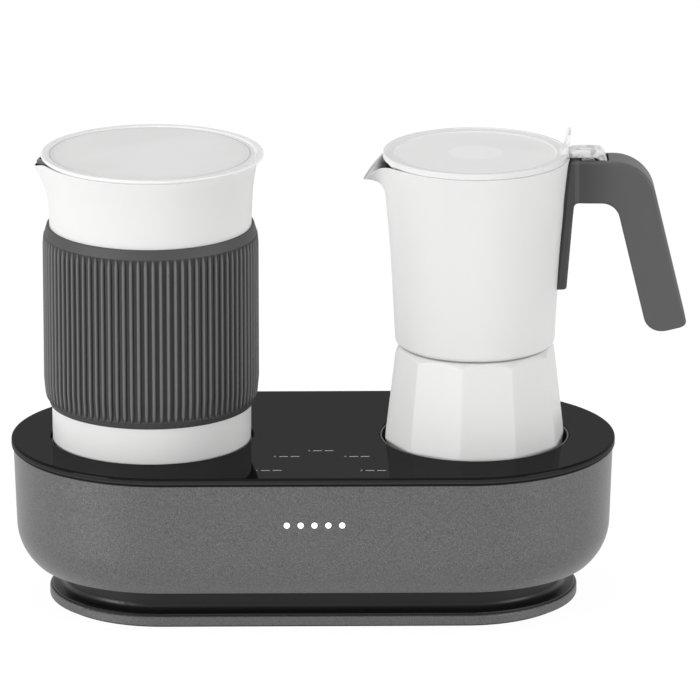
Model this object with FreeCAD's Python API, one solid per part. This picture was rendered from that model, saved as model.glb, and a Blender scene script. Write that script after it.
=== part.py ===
import FreeCAD, Part
import math
import os

V = FreeCAD.Vector
UP = V(0, 0, 1)

# All sizes are in millimetres. The origin is the middle of the underside, on the worktop.
# X runs to the right, Y to the back and Z up.

# Plan of the base: each outline of the base lies at a radius from one straight spine along X
spine_half = 77.5
station_x = 82.8

# Clearances
fit_gap = 0.1
lift_gap = 0.3
shaft_gap = 0.05
press_gap = 0.01

# Non-slip mat
mat_radius = 55.5
mat_height = 1.5

# Base plate
plate_radius = 58.5
plate_height = 5.0
plate_floor = 2.0
plate_rim = 4.0

# Plinth between the base plate and the body
plinth_radius = 50.3
plinth_wall = 2.7
plinth_height = 15.0
plinth_flange_radius = 57.2
plinth_flange = 1.2
plinth_fillet = 3.0

# Screws that hold base plate, plinth and body together
column_radius = 4.5
column_inset = 6.8
column_x = 50.0
screw_radius = 1.5
screw_hole = 1.8
screw_head = 3.1
screw_head_height = 1.5

# Body shell
body_height = 59.7
body_top_radius = 76.45
body_low_radius = 75.1
body_round = 27.6
body_round_rise = 20.2
body_wall = 2.6
body_floor = 2.5
boss_height = 8.0

# Vent slots in the underside of the body
vent_count = 7
vent_width = 2.4
vent_length = 9.0
vent_pitch = 6.0
vent_radius = 57.5

# Deck frame and glass
deck_lip = 0.6
deck_lip_step = 0.65
deck_plate = 2.4
deck_skirt = 8.8
deck_skirt_wall = 2.0
glass_overhang = 1.05
glass_thickness = 4.0
glass_edge = 1.1
post_radius = 3.6
post_inset = 9.2
post_x = 45.0
deck_screw_radius = 1.2
deck_screw_head = 2.6
deck_screw_head_height = 1.5
deck_screw_length = 10.0

# Pot station
well_space = 2.4
well_wall = 1.0
well_depth = 7.8
well_flange = 1.2
well_flange_width = 3.4
well_floor = 1.2
well_floor_depth = 4.5
plate_disc_step = 4.0
hot_plate_foot_step = 3.9
hot_plate_foot_thickness = 1.5
element_radius = 30.0
element_tube = 3.3
element_turn = 300.0
terminal_radius = 1.5
terminal_length = 9.0
shield_depth = 12.0
shield_wall = 0.8
shield_opening = 13.0
plate_screw_inset = 2.6
plate_screw_radius = 1.1
plate_screw_head = 2.0
plate_screw_head_height = 1.2
thermostat_radius = 7.5
thermostat_height = 8.0
thermostat_offset = 17.6
blade_tab_width = 4.8
blade_tab_thickness = 0.8
blade_tab_length = 6.0
blade_tab_y = 3.0
terminal_gap = 1.0

# Spring-loaded pot sensor in the middle of the hot plate
sensor_radius = 6.0
sensor_cap = 11.7
sensor_wall = 0.8
sensor_stem = 2.0
sensor_stem_length = 18.7
guide_wall = 2.0
guide_height = 9.9
guide_floor = 1.0
leaf_width = 5.0
leaf_thickness = 0.4
leaf_reach = 15.0
leaf_drop = 1.6

# Jug station
seat_space = 1.25
seat_depth = 2.5
seat_lip = 1.5
seat_ledge = 1.6
film_inner = 24.0
film_outer = 46.0
film_thickness = 1.5
rotor_radius = 20.0
rotor_thickness = 5.0
rotor_gap = 0.8
magnet_radius = 4.5
magnet_depth = 3.0
magnet_circle = 13.0
magnet_count = 4
motor_radius = 16.5
motor_height = 28.0
motor_boss_radius = 5.0
motor_boss_height = 1.6
shaft_radius = 1.5
shaft_length = 14.0
bracket_length = 52.0
bracket_width = 38.0
bracket_thickness = 2.0
bracket_leg = 3.4
bracket_leg_x = 21.5
bracket_leg_y = 14.5
rotor_clearance = 4.0
motor_screw_offset = 10.0
motor_screw_radius = 1.3
motor_screw_head = 2.2
motor_screw_head_height = 1.4
motor_screw_depth = 5.0

# Electronics
board_length = 86.0
board_width = 64.0
board_thickness = 1.6
board_x = 4.0
board_y = 2.0
board_rise = 10.0
board_post = 3.0
board_post_inset = 5.0
board_screw_length = 6.0
touch_length = 66.0
touch_width = 46.0
touch_inset = 10.5
touch_ledge = 1.5
light_count = 5
light_pitch = 7.0
light_radius = 1.5
light_z = 60.5
light_bar_height = 7.0
light_bar_depth = 3.2
light_proud = 0.12
light_board_length = 42.0
light_board_height = 16.0
light_rib = 2.6

# Mains inlet in the back wall
inlet_z = 53.5
inlet_flange_x = 34.0
inlet_flange_z = 26.0
inlet_flange = 1.6
inlet_body_x = 27.2
inlet_body_z = 19.6
inlet_depth = 21.0
socket_x = 24.0
socket_z = 16.4
socket_depth = 16.5
inlet_round = 2.5
inlet_recess = 1.6
inlet_pad = 4.0
blade_thickness = 2.0
blade_width = 4.0
blade_pitch = 14.0
earth_rise = 4.0
blade_length = 14.0
blade_tail = 7.0

# Milk jug
jug_foot_radius = 50.75
jug_low_radius = 50.95
jug_neck_radius = 51.35
jug_neck_height = 121.5
jug_rim_radius = 54.8
jug_height = 150.3
jug_foot_height = 7.0
jug_flare = 290.0
jug_wall = 1.5
jug_floor = 1.6
jug_air_gap = 0.5
liner_wall = 1.0
liner_drop = 0.3
liner_collar = 6.0
jug_beak_proud = 4.4
jug_beak_round = 3.2
jug_beak_angle = 27.0
jug_beak_height = 24.0
jug_beak_drop = 3.4
jug_beak_inset = 4.8
# The beak's keel: shares of its height, and of its reach beyond the wall
jug_beak_sweep = (
    (0.0, 0.05), (0.16, 0.22), (0.29, 0.36), (0.42, 0.52), (0.555, 0.69), (0.69, 0.84), (0.82, 0.95), (1.0, 1.0),
)
whisk_pin_radius = 1.5
whisk_pin_length = 9.0

# Ribbed sleeve round the jug
sleeve_bottom = 20.9
sleeve_height = 94.3
sleeve_proud = 3.65
sleeve_edge = 0.9
sleeve_top_run = 8.5
sleeve_low_run = 15.0
rib_count = 90
groove_depth = 1.5
groove_width = 2.0

# Jug lid
jug_lid_overhang = 2.1
jug_lid_shift = 1.2
jug_lid_rim = 2.0
jug_lid_rim_width = 4.6
jug_lid_floor = 1.3
plug_wall = 1.5
plug_depth = 11.0
seal_width = 1.4
seal_height = 3.0
seal_drop = 4.5

# Whisk that the magnets turn
hub_radius = 9.0
hub_height = 11.0
hub_roof = 1.4
whisk_radius = 22.0
whisk_ring_wall = 1.6
whisk_ring_height = 3.0
whisk_blade_count = 10
whisk_blade_height = 5.0
whisk_blade_thickness = 1.2
hub_magnet_radius = 2.4
hub_magnet_depth = 2.4
hub_magnet_circle = 5.4

# Boiler of the pot
facet_count = 10
facet_turn = -10.3
boiler_height = 56.3
boiler_low_corner = 47.5
boiler_top_corner = 40.85
boiler_foot_radius = 44.2
boiler_side_radius = 46.2
boiler_foot_round = 3.0
boiler_wall = 2.2
boiler_floor = 3.0
shoulder_rise = 52.5
shoulder_radius = 41.9
shoulder_top_radius = 38.2
shoulder_round = 4.0
neck_radius = 33.0
neck_wall = 2.4
neck_height = 7.7
valve_z = 27.0
valve_boss = 6.6
valve_boss_proud = 1.6
valve_hex = 5.2
valve_length = 6.0
valve_thread = 3.6
valve_bore = 1.4
valve_pin_radius = 1.1
valve_pin_proud = 1.6
valve_pin_length = 7.0

# Funnel
funnel_flange = 0.8
funnel_flange_step = 0.6
funnel_wall = 0.8
funnel_gap = 0.4
basket_depth = 20.0
basket_cone = 7.0
stem_radius = 5.0
stem_clearance = 5.0
funnel_hole = 1.0
funnel_hole_count = 8

# Gasket and filter plate
gasket_height = 2.0
gasket_inner = 24.0
filter_thickness = 0.8
filter_step = 1.8
filter_hole = 1.3
filter_hole_count = 6

# Upper chamber of the pot
collar_gap = 1.0
collar_round = 2.6
thread_gap = 0.35
chamber_height = 97.7
chamber_low_radius = 40.7
chamber_mid_radius = 43.3
chamber_mid_height = 51.7
chamber_top_radius = 47.9
chamber_flare = 900.0
chamber_wall = 2.2
chamber_floor = 2.2
steam_room = 3.5
steam_room_radius = 27.0
column_base_radius = 9.0
column_top_radius = 5.4
column_bore = 3.2
column_spigot = 6.0
column_roof = 3.0
column_height = 62.0
outlet_width = 3.2
outlet_height = 5.0
spout_proud = 9.0
spout_round = 4.4
spout_angle = 37.0
spout_drop = 11.4
spout_inset = 6.9
spout_lip = 1.2
# The beak's keel: how far each plan section lies below the tip and back from it
spout_keel = (
    (8.4, 12.0), (6.2, 10.9), (4.4, 10.0), (3.0, 9.2), (1.9, 8.2), (1.0, 6.8), (0.4, 4.4), (0.0, 0.0),
)
cap_radius = 13.5
cap_height = 4.6
cap_dome = 2.0
lug_width = 8.0
lug_height = 9.0
lug_reach = 2.6
lug_low = 44.0
lug_high = 82.0

# Handle of the pot
handle_width = 21.0
strip_width = 15.0
strip_thickness = 7.3
strip_top_drop = 21.8
handle_drop = 0.7
handle_round = 2.6
handle_screw_radius = 1.7
handle_screw_head = 3.0
handle_screw_head_height = 1.6
handle_pin_radius = 1.5

# Pot lid and its hinge
hinge_reach = 13.9
hinge_drop = 2.8
hinge_pin_radius = 1.5
hinge_pin_length = 19.0
knuckle_radius = 4.2
knuckle_width = 12.0
knuckle_gap = 0.3
slot_radius = 11.2
slot_lead = 1.2
lid_gap = 0.4
lid_inset = 0.7
lid_thickness = 1.6
lid_rim = 1.1
lid_rim_width = 4.4
lid_lip_depth = 3.0
lid_lip_wall = 1.2
lid_lip_gap = 0.8
arm_rise = 5.4
arm_thickness = 4.8
arm_overrun = 8.7
tab_height = 11.5
tab_lean = 5.6
tab_thickness = 2.0
tab_width = 15.0

# Plan sizes that follow from the pieces they surround or cover
deck_lip_radius = body_top_radius - deck_lip_step
glass_radius = body_top_radius + glass_overhang
touch_front = glass_radius - touch_inset
well_opening = boiler_side_radius + well_space
plate_disc_radius = well_opening - plate_disc_step
hot_plate_foot = well_opening + hot_plate_foot_step
plate_screw_circle = hot_plate_foot - plate_screw_inset
seat_opening = jug_foot_radius + seat_space
sleeve_radius = jug_neck_radius + sleeve_proud
jug_lid_radius = jug_rim_radius + jug_lid_overhang
jug_beak_reach = jug_rim_radius + jug_beak_proud
jug_beak_start = jug_rim_radius - jug_beak_inset
neck_bore = neck_radius - neck_wall
funnel_flange_radius = neck_radius - funnel_flange_step
filter_radius = neck_radius - filter_step
spout_reach = chamber_top_radius + spout_proud
spout_start = chamber_top_radius - spout_inset
lid_radius = chamber_top_radius - lid_inset
handle_x = station_x + chamber_mid_radius
hinge_x = handle_x + hinge_reach

# Heights that follow from the stack of pieces
mat_top = mat_height
plate_top = mat_top + plate_height
body_bottom = plate_top + plinth_height
body_top = body_bottom + body_height
floor_top = body_bottom + body_floor
glass_bottom = body_top + deck_lip
deck_top = glass_bottom + glass_thickness
deck_low = glass_bottom - deck_lip - deck_plate
pot_z = deck_top - well_depth
jug_z = deck_top - seat_depth
jug_top = jug_z + jug_height
boiler_top = pot_z + boiler_height
neck_top = boiler_top + neck_height
gasket_z = neck_top + funnel_flange + fit_gap
filter_z = gasket_z + gasket_height + fit_gap
chamber_z = boiler_top + collar_gap
chamber_top = chamber_z + chamber_height
hot_plate_low = pot_z - well_floor_depth - hot_plate_foot_thickness
handle_top = chamber_top - handle_drop
hinge_z = handle_top - hinge_drop
arm_top = chamber_top + arm_rise
arm_bottom = arm_top - arm_thickness
arm_end = hinge_x + arm_overrun


def xz(u, v):
    """A point of an upright section."""
    return V(u, 0, v)


def xy(u, v):
    """A point of a plan."""
    return V(u, v, 0)


def yz(u, v):
    """A point of a section seen from the side."""
    return V(0, u, v)


def rounded_wire(corners, place=xz):
    """Closed wire through corners (u, v) or (u, v, radius); a radius becomes a tangent arc."""
    count = len(corners)
    starts = []
    middles = []
    ends = []
    for index, corner in enumerate(corners):
        here = V(corner[0], corner[1], 0)
        radius = corner[2] if len(corner) > 2 else 0.0
        if radius == 0.0:
            starts.append(here)
            middles.append(None)
            ends.append(here)
            continue
        before = corners[index - 1]
        after = corners[(index + 1) % count]
        back = (V(before[0], before[1], 0) - here).normalize()
        forth = (V(after[0], after[1], 0) - here).normalize()
        half = back.getAngle(forth) / 2
        reach = radius / math.tan(half)
        starts.append(here + back * reach)
        ends.append(here + forth * reach)
        middle = (back + forth).normalize()
        middles.append(here + middle * (radius / math.sin(half) - radius))
    edges = []
    for index in range(count):
        if middles[index] is not None:
            three = [starts[index], middles[index], ends[index]]
            edges.append(Part.Arc(*[place(p.x, p.y) for p in three]).toShape())
        start = ends[index]
        end = starts[(index + 1) % count]
        if (end - start).Length > 1e-6:
            edges.append(Part.LineSegment(place(start.x, start.y), place(end.x, end.y)).toShape())
    return Part.Wire(edges)


def turned(corners, x=0.0, y=0.0):
    """Solid of revolution about an upright axis at (x, y)."""
    solid = Part.Face(rounded_wire(corners)).revolve(V(0, 0, 0), UP, 360)
    return solid.translated(V(x, y, 0))


def extruded(corners, place, direction, start=V(0, 0, 0)):
    """Solid made by pushing a flat outline along a direction."""
    face = Part.Face(rounded_wire(corners, place))
    return face.extrude(direction).translated(start)


def across(corners, width, y=0.0):
    """Solid with an XZ outline, centred on y and as wide as given."""
    return extruded(corners, xz, V(0, width, 0), V(0, y - width / 2, 0))


def block(x0, x1, y0, y1, z0, z1):
    """Plain block between two corners."""
    return Part.makeBox(x1 - x0, y1 - y0, z1 - z0, V(x0, y0, z0))


def rod(radius, z0, z1, x=0.0, y=0.0):
    """Upright cylinder."""
    return Part.makeCylinder(radius, z1 - z0, V(x, y, z0))


def rod_along(radius, start, direction, length):
    """Cylinder from a point along a direction."""
    return Part.makeCylinder(radius, length, start, direction)


def fused(shapes):
    """One clean solid out of touching shapes."""
    return shapes[0].multiFuse(shapes[1:]).removeSplitter()


def spine_solid(corners):
    """Carries an upright section (radius, z) once round the spine: two half turns and two straights."""
    face = Part.Face(rounded_wire(corners))
    front = face.copy()
    front.rotate(V(0, 0, 0), UP, -90)
    back = face.copy()
    back.rotate(V(0, 0, 0), UP, 90)
    right = front.revolve(V(0, 0, 0), UP, 180).translated(V(spine_half, 0, 0))
    left = back.revolve(V(0, 0, 0), UP, 180).translated(V(-spine_half, 0, 0))
    run = V(2 * spine_half, 0, 0)
    start = V(-spine_half, 0, 0)
    return fused([right, left, front.extrude(run).translated(start), back.extrude(run).translated(start)])


def ring_points(count, radius, first=0.0, x=0.0, y=0.0):
    """Points evenly spaced round a circle; first is the first one's angle in degrees."""
    angles = [math.radians(first + 360.0 * index / count) for index in range(count)]
    return [(x + radius * math.cos(angle), y + radius * math.sin(angle)) for angle in angles]


def six_points(x, radius):
    """Two points at the ends of the spine and four beside its straights."""
    end = spine_half + radius
    return [(-end, 0), (end, 0)] + [(sx * x, sy * radius) for sx in (-1, 1) for sy in (-1, 1)]


def column_points():
    """Where the screws of the underside stand."""
    return six_points(column_x, plinth_radius - column_inset)


def post_points():
    """Where the screws of the deck stand."""
    return six_points(post_x, body_top_radius - post_inset)


def body_outer_radius(z):
    """Radius of the body's outside on its straight side."""
    low = body_bottom + body_round_rise
    share = (z - low) / (body_top - low)
    return body_low_radius + share * (body_top_radius - body_low_radius)


def room_radius(low, high):
    """Least radius of the room inside the body between two heights."""
    return min(body_outer_radius(low), body_outer_radius(high)) - body_wall


def inlet_plane():
    """Where the inlet's flange lies, set back from the body's outside."""
    return body_outer_radius(inlet_z) - inlet_recess


def body_block(inset, bottom):
    """The body's outer form, drawn in by an inset and cut off at a height."""
    low = body_bottom + body_round_rise - body_round + inset
    slope = (body_top_radius - body_low_radius) / (body_height - body_round_rise)
    foot = body_low_radius - inset - slope * (body_round - inset)
    form = spine_solid([
        (0, low),
        (foot, low, body_round - inset),
        (body_top_radius - inset, body_top),
        (0, body_top),
    ])
    reach = spine_half + body_top_radius + 1
    keep = block(-reach, reach, -reach, reach, bottom, body_top)
    return form.common(keep)


def foot_mat():
    """Rubber mat under the base plate."""
    edge = mat_height / 3
    return spine_solid([(0, 0), (mat_radius, 0, edge), (mat_radius, mat_top), (0, mat_top)])


def base_plate():
    """Tray that closes the underside, with a boss at each screw."""
    inner = plate_radius - plate_rim
    floor = mat_top + plate_floor
    tray = spine_solid([
        (0, mat_top),
        (plate_radius, mat_top, 0.7),
        (plate_radius, plate_top, 0.9),
        (inner, plate_top),
        (inner, floor),
        (0, floor),
    ])
    bosses = [rod(column_radius, floor, plate_top, x, y) for x, y in column_points()]
    sunk = mat_top + screw_head_height + lift_gap
    holes = []
    for x, y in column_points():
        holes.append(rod(screw_hole, mat_top, plate_top, x, y))
        holes.append(rod(screw_head + lift_gap, mat_top, sunk, x, y))
    return fused([tray] + bosses).cut(Part.makeCompound(holes))


def plinth():
    """Waist of the base: an upright wall on a thin flange, with a column at each screw."""
    inner = plinth_radius - plinth_wall
    flange_top = plate_top + plinth_flange
    wall = spine_solid([
        (inner, plate_top),
        (plinth_flange_radius, plate_top),
        (plinth_flange_radius, flange_top, 0.5),
        (plinth_radius, flange_top, plinth_fillet),
        (plinth_radius, body_bottom),
        (inner, body_bottom),
    ])
    columns = [rod(column_radius, plate_top, body_bottom, x, y) for x, y in column_points()]
    holes = [rod(screw_hole, plate_top, body_bottom, x, y) for x, y in column_points()]
    return fused([wall] + columns).cut(Part.makeCompound(holes))


def base_screws():
    """Screws from the underside up into the body's bosses."""
    head_low = mat_top + fit_gap
    neck = head_low + screw_head_height
    tip = floor_top + boss_height - 2
    screws = []
    for x, y in column_points():
        corners = [(0, head_low), (screw_head, head_low), (screw_head, neck, 0.4), (screw_radius, neck)]
        corners += [(screw_radius, tip - screw_radius), (0, tip)]
        screws.append(turned(corners, x, y))
    return Part.makeCompound(screws)


def vents():
    """Two rows of slots behind the plinth in the body's floor."""
    slots = []
    for side in (-1, 1):
        for index in range(vent_count):
            x = side * (column_x - vent_pitch * (index - (vent_count - 1) / 2.0) * 0.9)
            low = vent_radius - vent_length / 2
            high = vent_radius + vent_length / 2
            half = vent_width / 2
            slots.append(block(x - half, x + half, low, high, body_bottom - 1, floor_top + 6))
    return slots


def board_spots():
    """Where the control board's posts stand."""
    reach_x = board_length / 2 - board_post_inset
    reach_y = board_width / 2 - board_post_inset
    return [(board_x + sx * reach_x, board_y + sy * reach_y) for sx in (-1, 1) for sy in (-1, 1)]


def light_spots():
    """X places of the status lights."""
    return [light_pitch * (index - (light_count - 1) / 2.0) for index in range(light_count)]


def light_bar_back():
    """Distance from the spine to the back of the light bar."""
    half = light_board_height / 2
    return room_radius(light_z - half, light_z + half) - light_bar_depth


def body_shell():
    """Tub-shaped housing with a full floor, drafted walls and a broad rounding below."""
    shell = body_block(0, body_bottom).cut(body_block(body_wall, floor_top))
    inside = body_block(body_wall / 2, floor_top - 0.5)
    bosses = [rod(column_radius, floor_top - 0.5, floor_top + boss_height, x, y) for x, y in column_points()]
    posts = [rod(post_radius, floor_top - 0.5, deck_low, x, y) for x, y in post_points()]
    legs = [rod(board_post, floor_top - 0.5, floor_top + board_rise, x, y) for x, y in board_spots()]
    pad_x = inlet_flange_x / 2 + 3
    pad_z = inlet_flange_z / 2 + 3
    pad = block(-pad_x, pad_x, inlet_plane() - inlet_pad, body_top_radius, inlet_z - pad_z, inlet_z + pad_z)
    rib_x = light_board_length / 2 + fit_gap
    rib_back = light_bar_back() - board_thickness - 1.5
    half = light_board_height / 2 + 1
    ribs = []
    for side in (-1, 1):
        x0 = min(side * rib_x, side * (rib_x + light_rib))
        outside = body_outer_radius(light_z) + body_wall
        ribs.append(block(x0, x0 + light_rib, -outside, -rib_back, light_z - half, light_z + half))
    added = Part.makeCompound(bosses + posts + legs + [pad] + ribs).common(inside)
    shell = fused([shell] + added.Solids)
    cuts = vents()
    hole = screw_radius + shaft_gap
    cuts += [rod(hole, body_bottom, floor_top + boss_height - 1, x, y) for x, y in column_points()]
    cuts += [rod(hole, floor_top + 1, floor_top + board_rise, x, y) for x, y in board_spots()]
    hole = deck_screw_radius + shaft_gap
    cuts += [rod(hole, deck_low - deck_screw_length, deck_low, x, y) for x, y in post_points()]
    face_x = inlet_flange_x / 2 + lift_gap
    face_z = inlet_flange_z / 2 + lift_gap
    recess = [
        (-face_x, inlet_z - face_z, inlet_round),
        (face_x, inlet_z - face_z, inlet_round),
        (face_x, inlet_z + face_z, inlet_round),
        (-face_x, inlet_z + face_z, inlet_round),
    ]
    cuts.append(extruded(recess, xz, V(0, 6, 0), V(0, inlet_plane(), 0)))
    hole_x = inlet_body_x / 2 + fit_gap
    hole_z = inlet_body_z / 2 + fit_gap
    window = [
        (-hole_x, inlet_z - hole_z, inlet_round),
        (hole_x, inlet_z - hole_z, inlet_round),
        (hole_x, inlet_z + hole_z, inlet_round),
        (-hole_x, inlet_z + hole_z, inlet_round),
    ]
    cuts.append(extruded(window, xz, V(0, 12, 0), V(0, inlet_plane() - 10, 0)))
    hole = light_radius + fit_gap / 2
    outside = body_outer_radius(light_z) + body_wall
    for x in light_spots():
        cuts.append(rod_along(hole, V(x, -outside, light_z), V(0, 1, 0), outside - light_bar_back()))
    return shell.cut(Part.makeCompound(cuts))


def touch_outline(grow):
    """Plan corners of the touch board, grown all round."""
    half = touch_length / 2 + grow
    back = -touch_front + touch_width + grow
    front = -touch_front - grow
    return [(-half, front, 3), (half, front, 3), (half, back, 3), (-half, back, 3)]


def deck_frame():
    """Black tray under the glass; its thin lip lies on the rim of the body."""
    skirt = room_radius(deck_low - deck_skirt, body_top) - 2 * fit_gap
    frame = spine_solid([
        (0, deck_low),
        (skirt - deck_skirt_wall, deck_low),
        (skirt - deck_skirt_wall, deck_low - deck_skirt),
        (skirt, deck_low - deck_skirt),
        (skirt, body_top),
        (deck_lip_radius, body_top),
        (deck_lip_radius, glass_bottom),
        (0, glass_bottom),
    ])
    cuts = [
        rod(well_opening, deck_low - 1, glass_bottom + 1, station_x),
        rod(well_opening + well_flange_width, glass_bottom - well_flange, glass_bottom + 1, station_x),
        rod(seat_opening - seat_ledge, deck_low - 1, glass_bottom + 1, -station_x),
    ]
    depth = V(0, 0, board_thickness + 1)
    cuts.append(extruded(touch_outline(fit_gap), xy, depth, V(0, 0, glass_bottom - board_thickness)))
    cuts.append(extruded(touch_outline(-touch_ledge), xy, V(0, 0, 6), V(0, 0, deck_low - 1)))
    for x, y in post_points():
        cuts.append(rod(deck_screw_radius + lift_gap, deck_low - 1, glass_bottom, x, y))
        head = glass_bottom - deck_screw_head_height - fit_gap
        cuts.append(rod(deck_screw_head + lift_gap, head, glass_bottom + 1, x, y))
    return frame.cut(Part.makeCompound(cuts))


def deck_screws():
    """Screws from the deck frame down into the body's posts."""
    low = glass_bottom - deck_screw_head_height - fit_gap
    tip = deck_low - deck_screw_length + 1
    screws = []
    for x, y in post_points():
        corners = [(0, tip), (deck_screw_radius, tip + 1), (deck_screw_radius, low), (deck_screw_head, low)]
        corners += [(deck_screw_head, low + deck_screw_head_height, 0.4), (0, low + deck_screw_head_height)]
        screws.append(turned(corners, x, y))
    return Part.makeCompound(screws)


def glass_hole(radius, x):
    """Round opening with a ground bevel at its upper edge."""
    bevel = 0.4
    return turned([
        (0, glass_bottom - 1),
        (radius, glass_bottom - 1),
        (radius, deck_top - bevel),
        (radius + 2 * bevel, deck_top + bevel),
        (0, deck_top + bevel),
    ], x)


def top_glass():
    """Glass deck with a rounded edge and an opening at each station."""
    pane = spine_solid([
        (0, glass_bottom),
        (glass_radius, glass_bottom, glass_edge / 2),
        (glass_radius, deck_top, glass_edge),
        (0, deck_top),
    ])
    return pane.cut(glass_hole(well_opening, station_x)).cut(glass_hole(seat_opening, -station_x))


def pot_well():
    """Cup that lines the pot's opening: a wall, a flange under the glass and a floor ring."""
    outer = well_opening - fit_gap
    inner = outer - well_wall
    flange = well_opening + well_flange_width - fit_gap
    low = pot_z - well_floor_depth
    return turned([
        (plate_disc_radius + lift_gap, low),
        (hot_plate_foot, low),
        (hot_plate_foot, low + well_floor),
        (outer, low + well_floor),
        (outer, glass_bottom - well_flange),
        (flange, glass_bottom - well_flange),
        (flange, glass_bottom),
        (outer, glass_bottom),
        (outer, deck_top - 0.3, 0.4),
        (inner, deck_top - 0.3, 0.4),
        (inner, low + well_floor, 0.8),
        (plate_disc_radius + lift_gap, low + well_floor),
    ], station_x).cut(Part.makeCompound([
        rod(plate_screw_radius + shaft_gap, low - 1, low + well_floor + 1, x, y)
        for x, y in plate_screw_points()
    ]))


def plate_screw_points():
    """Places of the hot plate's screws."""
    return ring_points(4, plate_screw_circle, 45, station_x)


def pot_hot_plate():
    """Cast plate that the pot stands on, with a foot flange and a hole for the sensor."""
    foot_top = hot_plate_low + hot_plate_foot_thickness
    disc = turned([
        (sensor_radius + lift_gap, hot_plate_low),
        (hot_plate_foot, hot_plate_low),
        (hot_plate_foot, foot_top),
        (plate_disc_radius, foot_top),
        (plate_disc_radius, pot_z, 0.8),
        (sensor_radius + lift_gap, pot_z),
    ], station_x)
    hole = plate_screw_radius + lift_gap
    holes = [rod(hole, hot_plate_low - 1, foot_top + 1, x, y) for x, y in plate_screw_points()]
    return disc.cut(Part.makeCompound(holes))


def terminal_spots():
    """Where the heating element's two ends come down."""
    half_gap = (360 - element_turn) / 2
    angles = [math.radians(180 + side * half_gap) for side in (-1, 1)]
    return [(station_x + element_radius * math.cos(a), element_radius * math.sin(a)) for a in angles]


def heating_element():
    """Horseshoe tube under the hot plate with a terminal at each end."""
    z = hot_plate_low - element_tube - shaft_gap
    tube = Part.makeTorus(element_radius, element_tube, V(station_x, 0, z), UP, 0, 360, element_turn)
    tube.rotate(V(station_x, 0, 0), UP, 180 + (360 - element_turn) / 2)
    pieces = [tube]
    for x, y in terminal_spots():
        pieces.append(Part.makeSphere(element_tube, V(x, y, z)))
        pieces.append(rod(terminal_radius, z - terminal_length, z, x, y))
    return fused(pieces)


def heat_shield():
    """Sheet-metal dish round the heating element, hung under the hot plate's foot."""
    low = hot_plate_low - shield_depth
    outer = hot_plate_foot + shield_wall
    dish = turned([
        (shield_opening, low),
        (outer, low, 1.6),
        (outer, hot_plate_low),
        (plate_screw_circle - 3.4, hot_plate_low),
        (plate_screw_circle - 3.4, hot_plate_low - shield_wall),
        (outer - shield_wall, hot_plate_low - shield_wall),
        (outer - shield_wall, low + shield_wall, 0.8),
        (shield_opening, low + shield_wall),
    ], station_x)
    holes = [
        rod(plate_screw_radius + lift_gap, hot_plate_low - 2, hot_plate_low + 1, x, y)
        for x, y in plate_screw_points()
    ]
    holes += [rod(terminal_radius + terminal_gap, low - 1, low + 2, x, y) for x, y in terminal_spots()]
    blade_x = station_x + thermostat_offset
    half_x = blade_tab_width / 2 + terminal_gap
    half_y = blade_tab_thickness / 2 + terminal_gap
    for y in (-blade_tab_y, blade_tab_y):
        holes.append(block(blade_x - half_x, blade_x + half_x, y - half_y, y + half_y, low - 1, low + 2))
    return dish.cut(Part.makeCompound(holes))


def plate_screws():
    """Screws that clamp shield and hot plate to the well."""
    low = hot_plate_low - shield_wall
    tip = hot_plate_low + hot_plate_foot_thickness + well_floor
    screws = []
    for x, y in plate_screw_points():
        corners = [(0, low - plate_screw_head_height), (plate_screw_head, low - plate_screw_head_height, 0.3)]
        corners += [(plate_screw_head, low), (plate_screw_radius, low), (plate_screw_radius, tip), (0, tip)]
        screws.append(turned(corners, x, y))
    return Part.makeCompound(screws)


def thermostat():
    """Snap-disc thermostat against the underside of the hot plate, with two blade terminals."""
    x = station_x + thermostat_offset
    top = hot_plate_low - shaft_gap
    can = turned([
        (0, top - thermostat_height),
        (thermostat_radius - 1.2, top - thermostat_height, 0.6),
        (thermostat_radius - 1.2, top - 3),
        (thermostat_radius, top - 3),
        (thermostat_radius, top, 0.5),
        (0, top),
    ], x)
    low = top - thermostat_height
    half_x = blade_tab_width / 2
    half_y = blade_tab_thickness / 2
    blades = [
        block(x - half_x, x + half_x, y - half_y, y + half_y, low - blade_tab_length, low + 1)
        for y in (-blade_tab_y, blade_tab_y)
    ]
    return fused([can] + blades)


def sensor_guide():
    """Cup fixed under the hot plate that guides the sensor."""
    top = hot_plate_low - shaft_gap
    inner = sensor_radius + lift_gap
    low = top - guide_height
    return turned([
        (sensor_stem + lift_gap, low),
        (inner + guide_wall, low),
        (inner + guide_wall, top),
        (inner, top),
        (inner, low + guide_floor),
        (sensor_stem + lift_gap, low + guide_floor),
    ], station_x)


def pot_sensor():
    """Sprung button that feels the pot's bottom: a cap on a stem."""
    top = pot_z - lift_gap
    return turned([
        (0, top - sensor_stem_length, 0),
        (sensor_stem, top - sensor_stem_length, 0.5),
        (sensor_stem, top - sensor_wall),
        (sensor_radius - sensor_wall, top - sensor_wall),
        (sensor_radius - sensor_wall, top - sensor_cap),
        (sensor_radius, top - sensor_cap),
        (sensor_radius, top, 0.6),
        (0, top),
    ], station_x)


def sensor_spring():
    """Leaf spring on the shield's floor that carries the foot of the sensor's stem."""
    seat = hot_plate_low - shield_depth
    tip = pot_z - lift_gap - sensor_stem_length - shaft_gap
    start = station_x - leaf_reach - 6
    bend = station_x - leaf_reach
    end = station_x + 3
    lower = tip - leaf_thickness
    leaf = across([
        (start, seat - leaf_thickness),
        (bend, seat - leaf_thickness),
        (station_x - 4, lower, 3),
        (end, lower, 0),
        (end + 2, lower - leaf_drop),
        (end + 2.4, lower - leaf_drop + 0.3),
        (end, tip, 0),
        (station_x - 4, tip, 3),
        (bend, seat),
        (start, seat),
    ], leaf_width)
    return leaf


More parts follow.
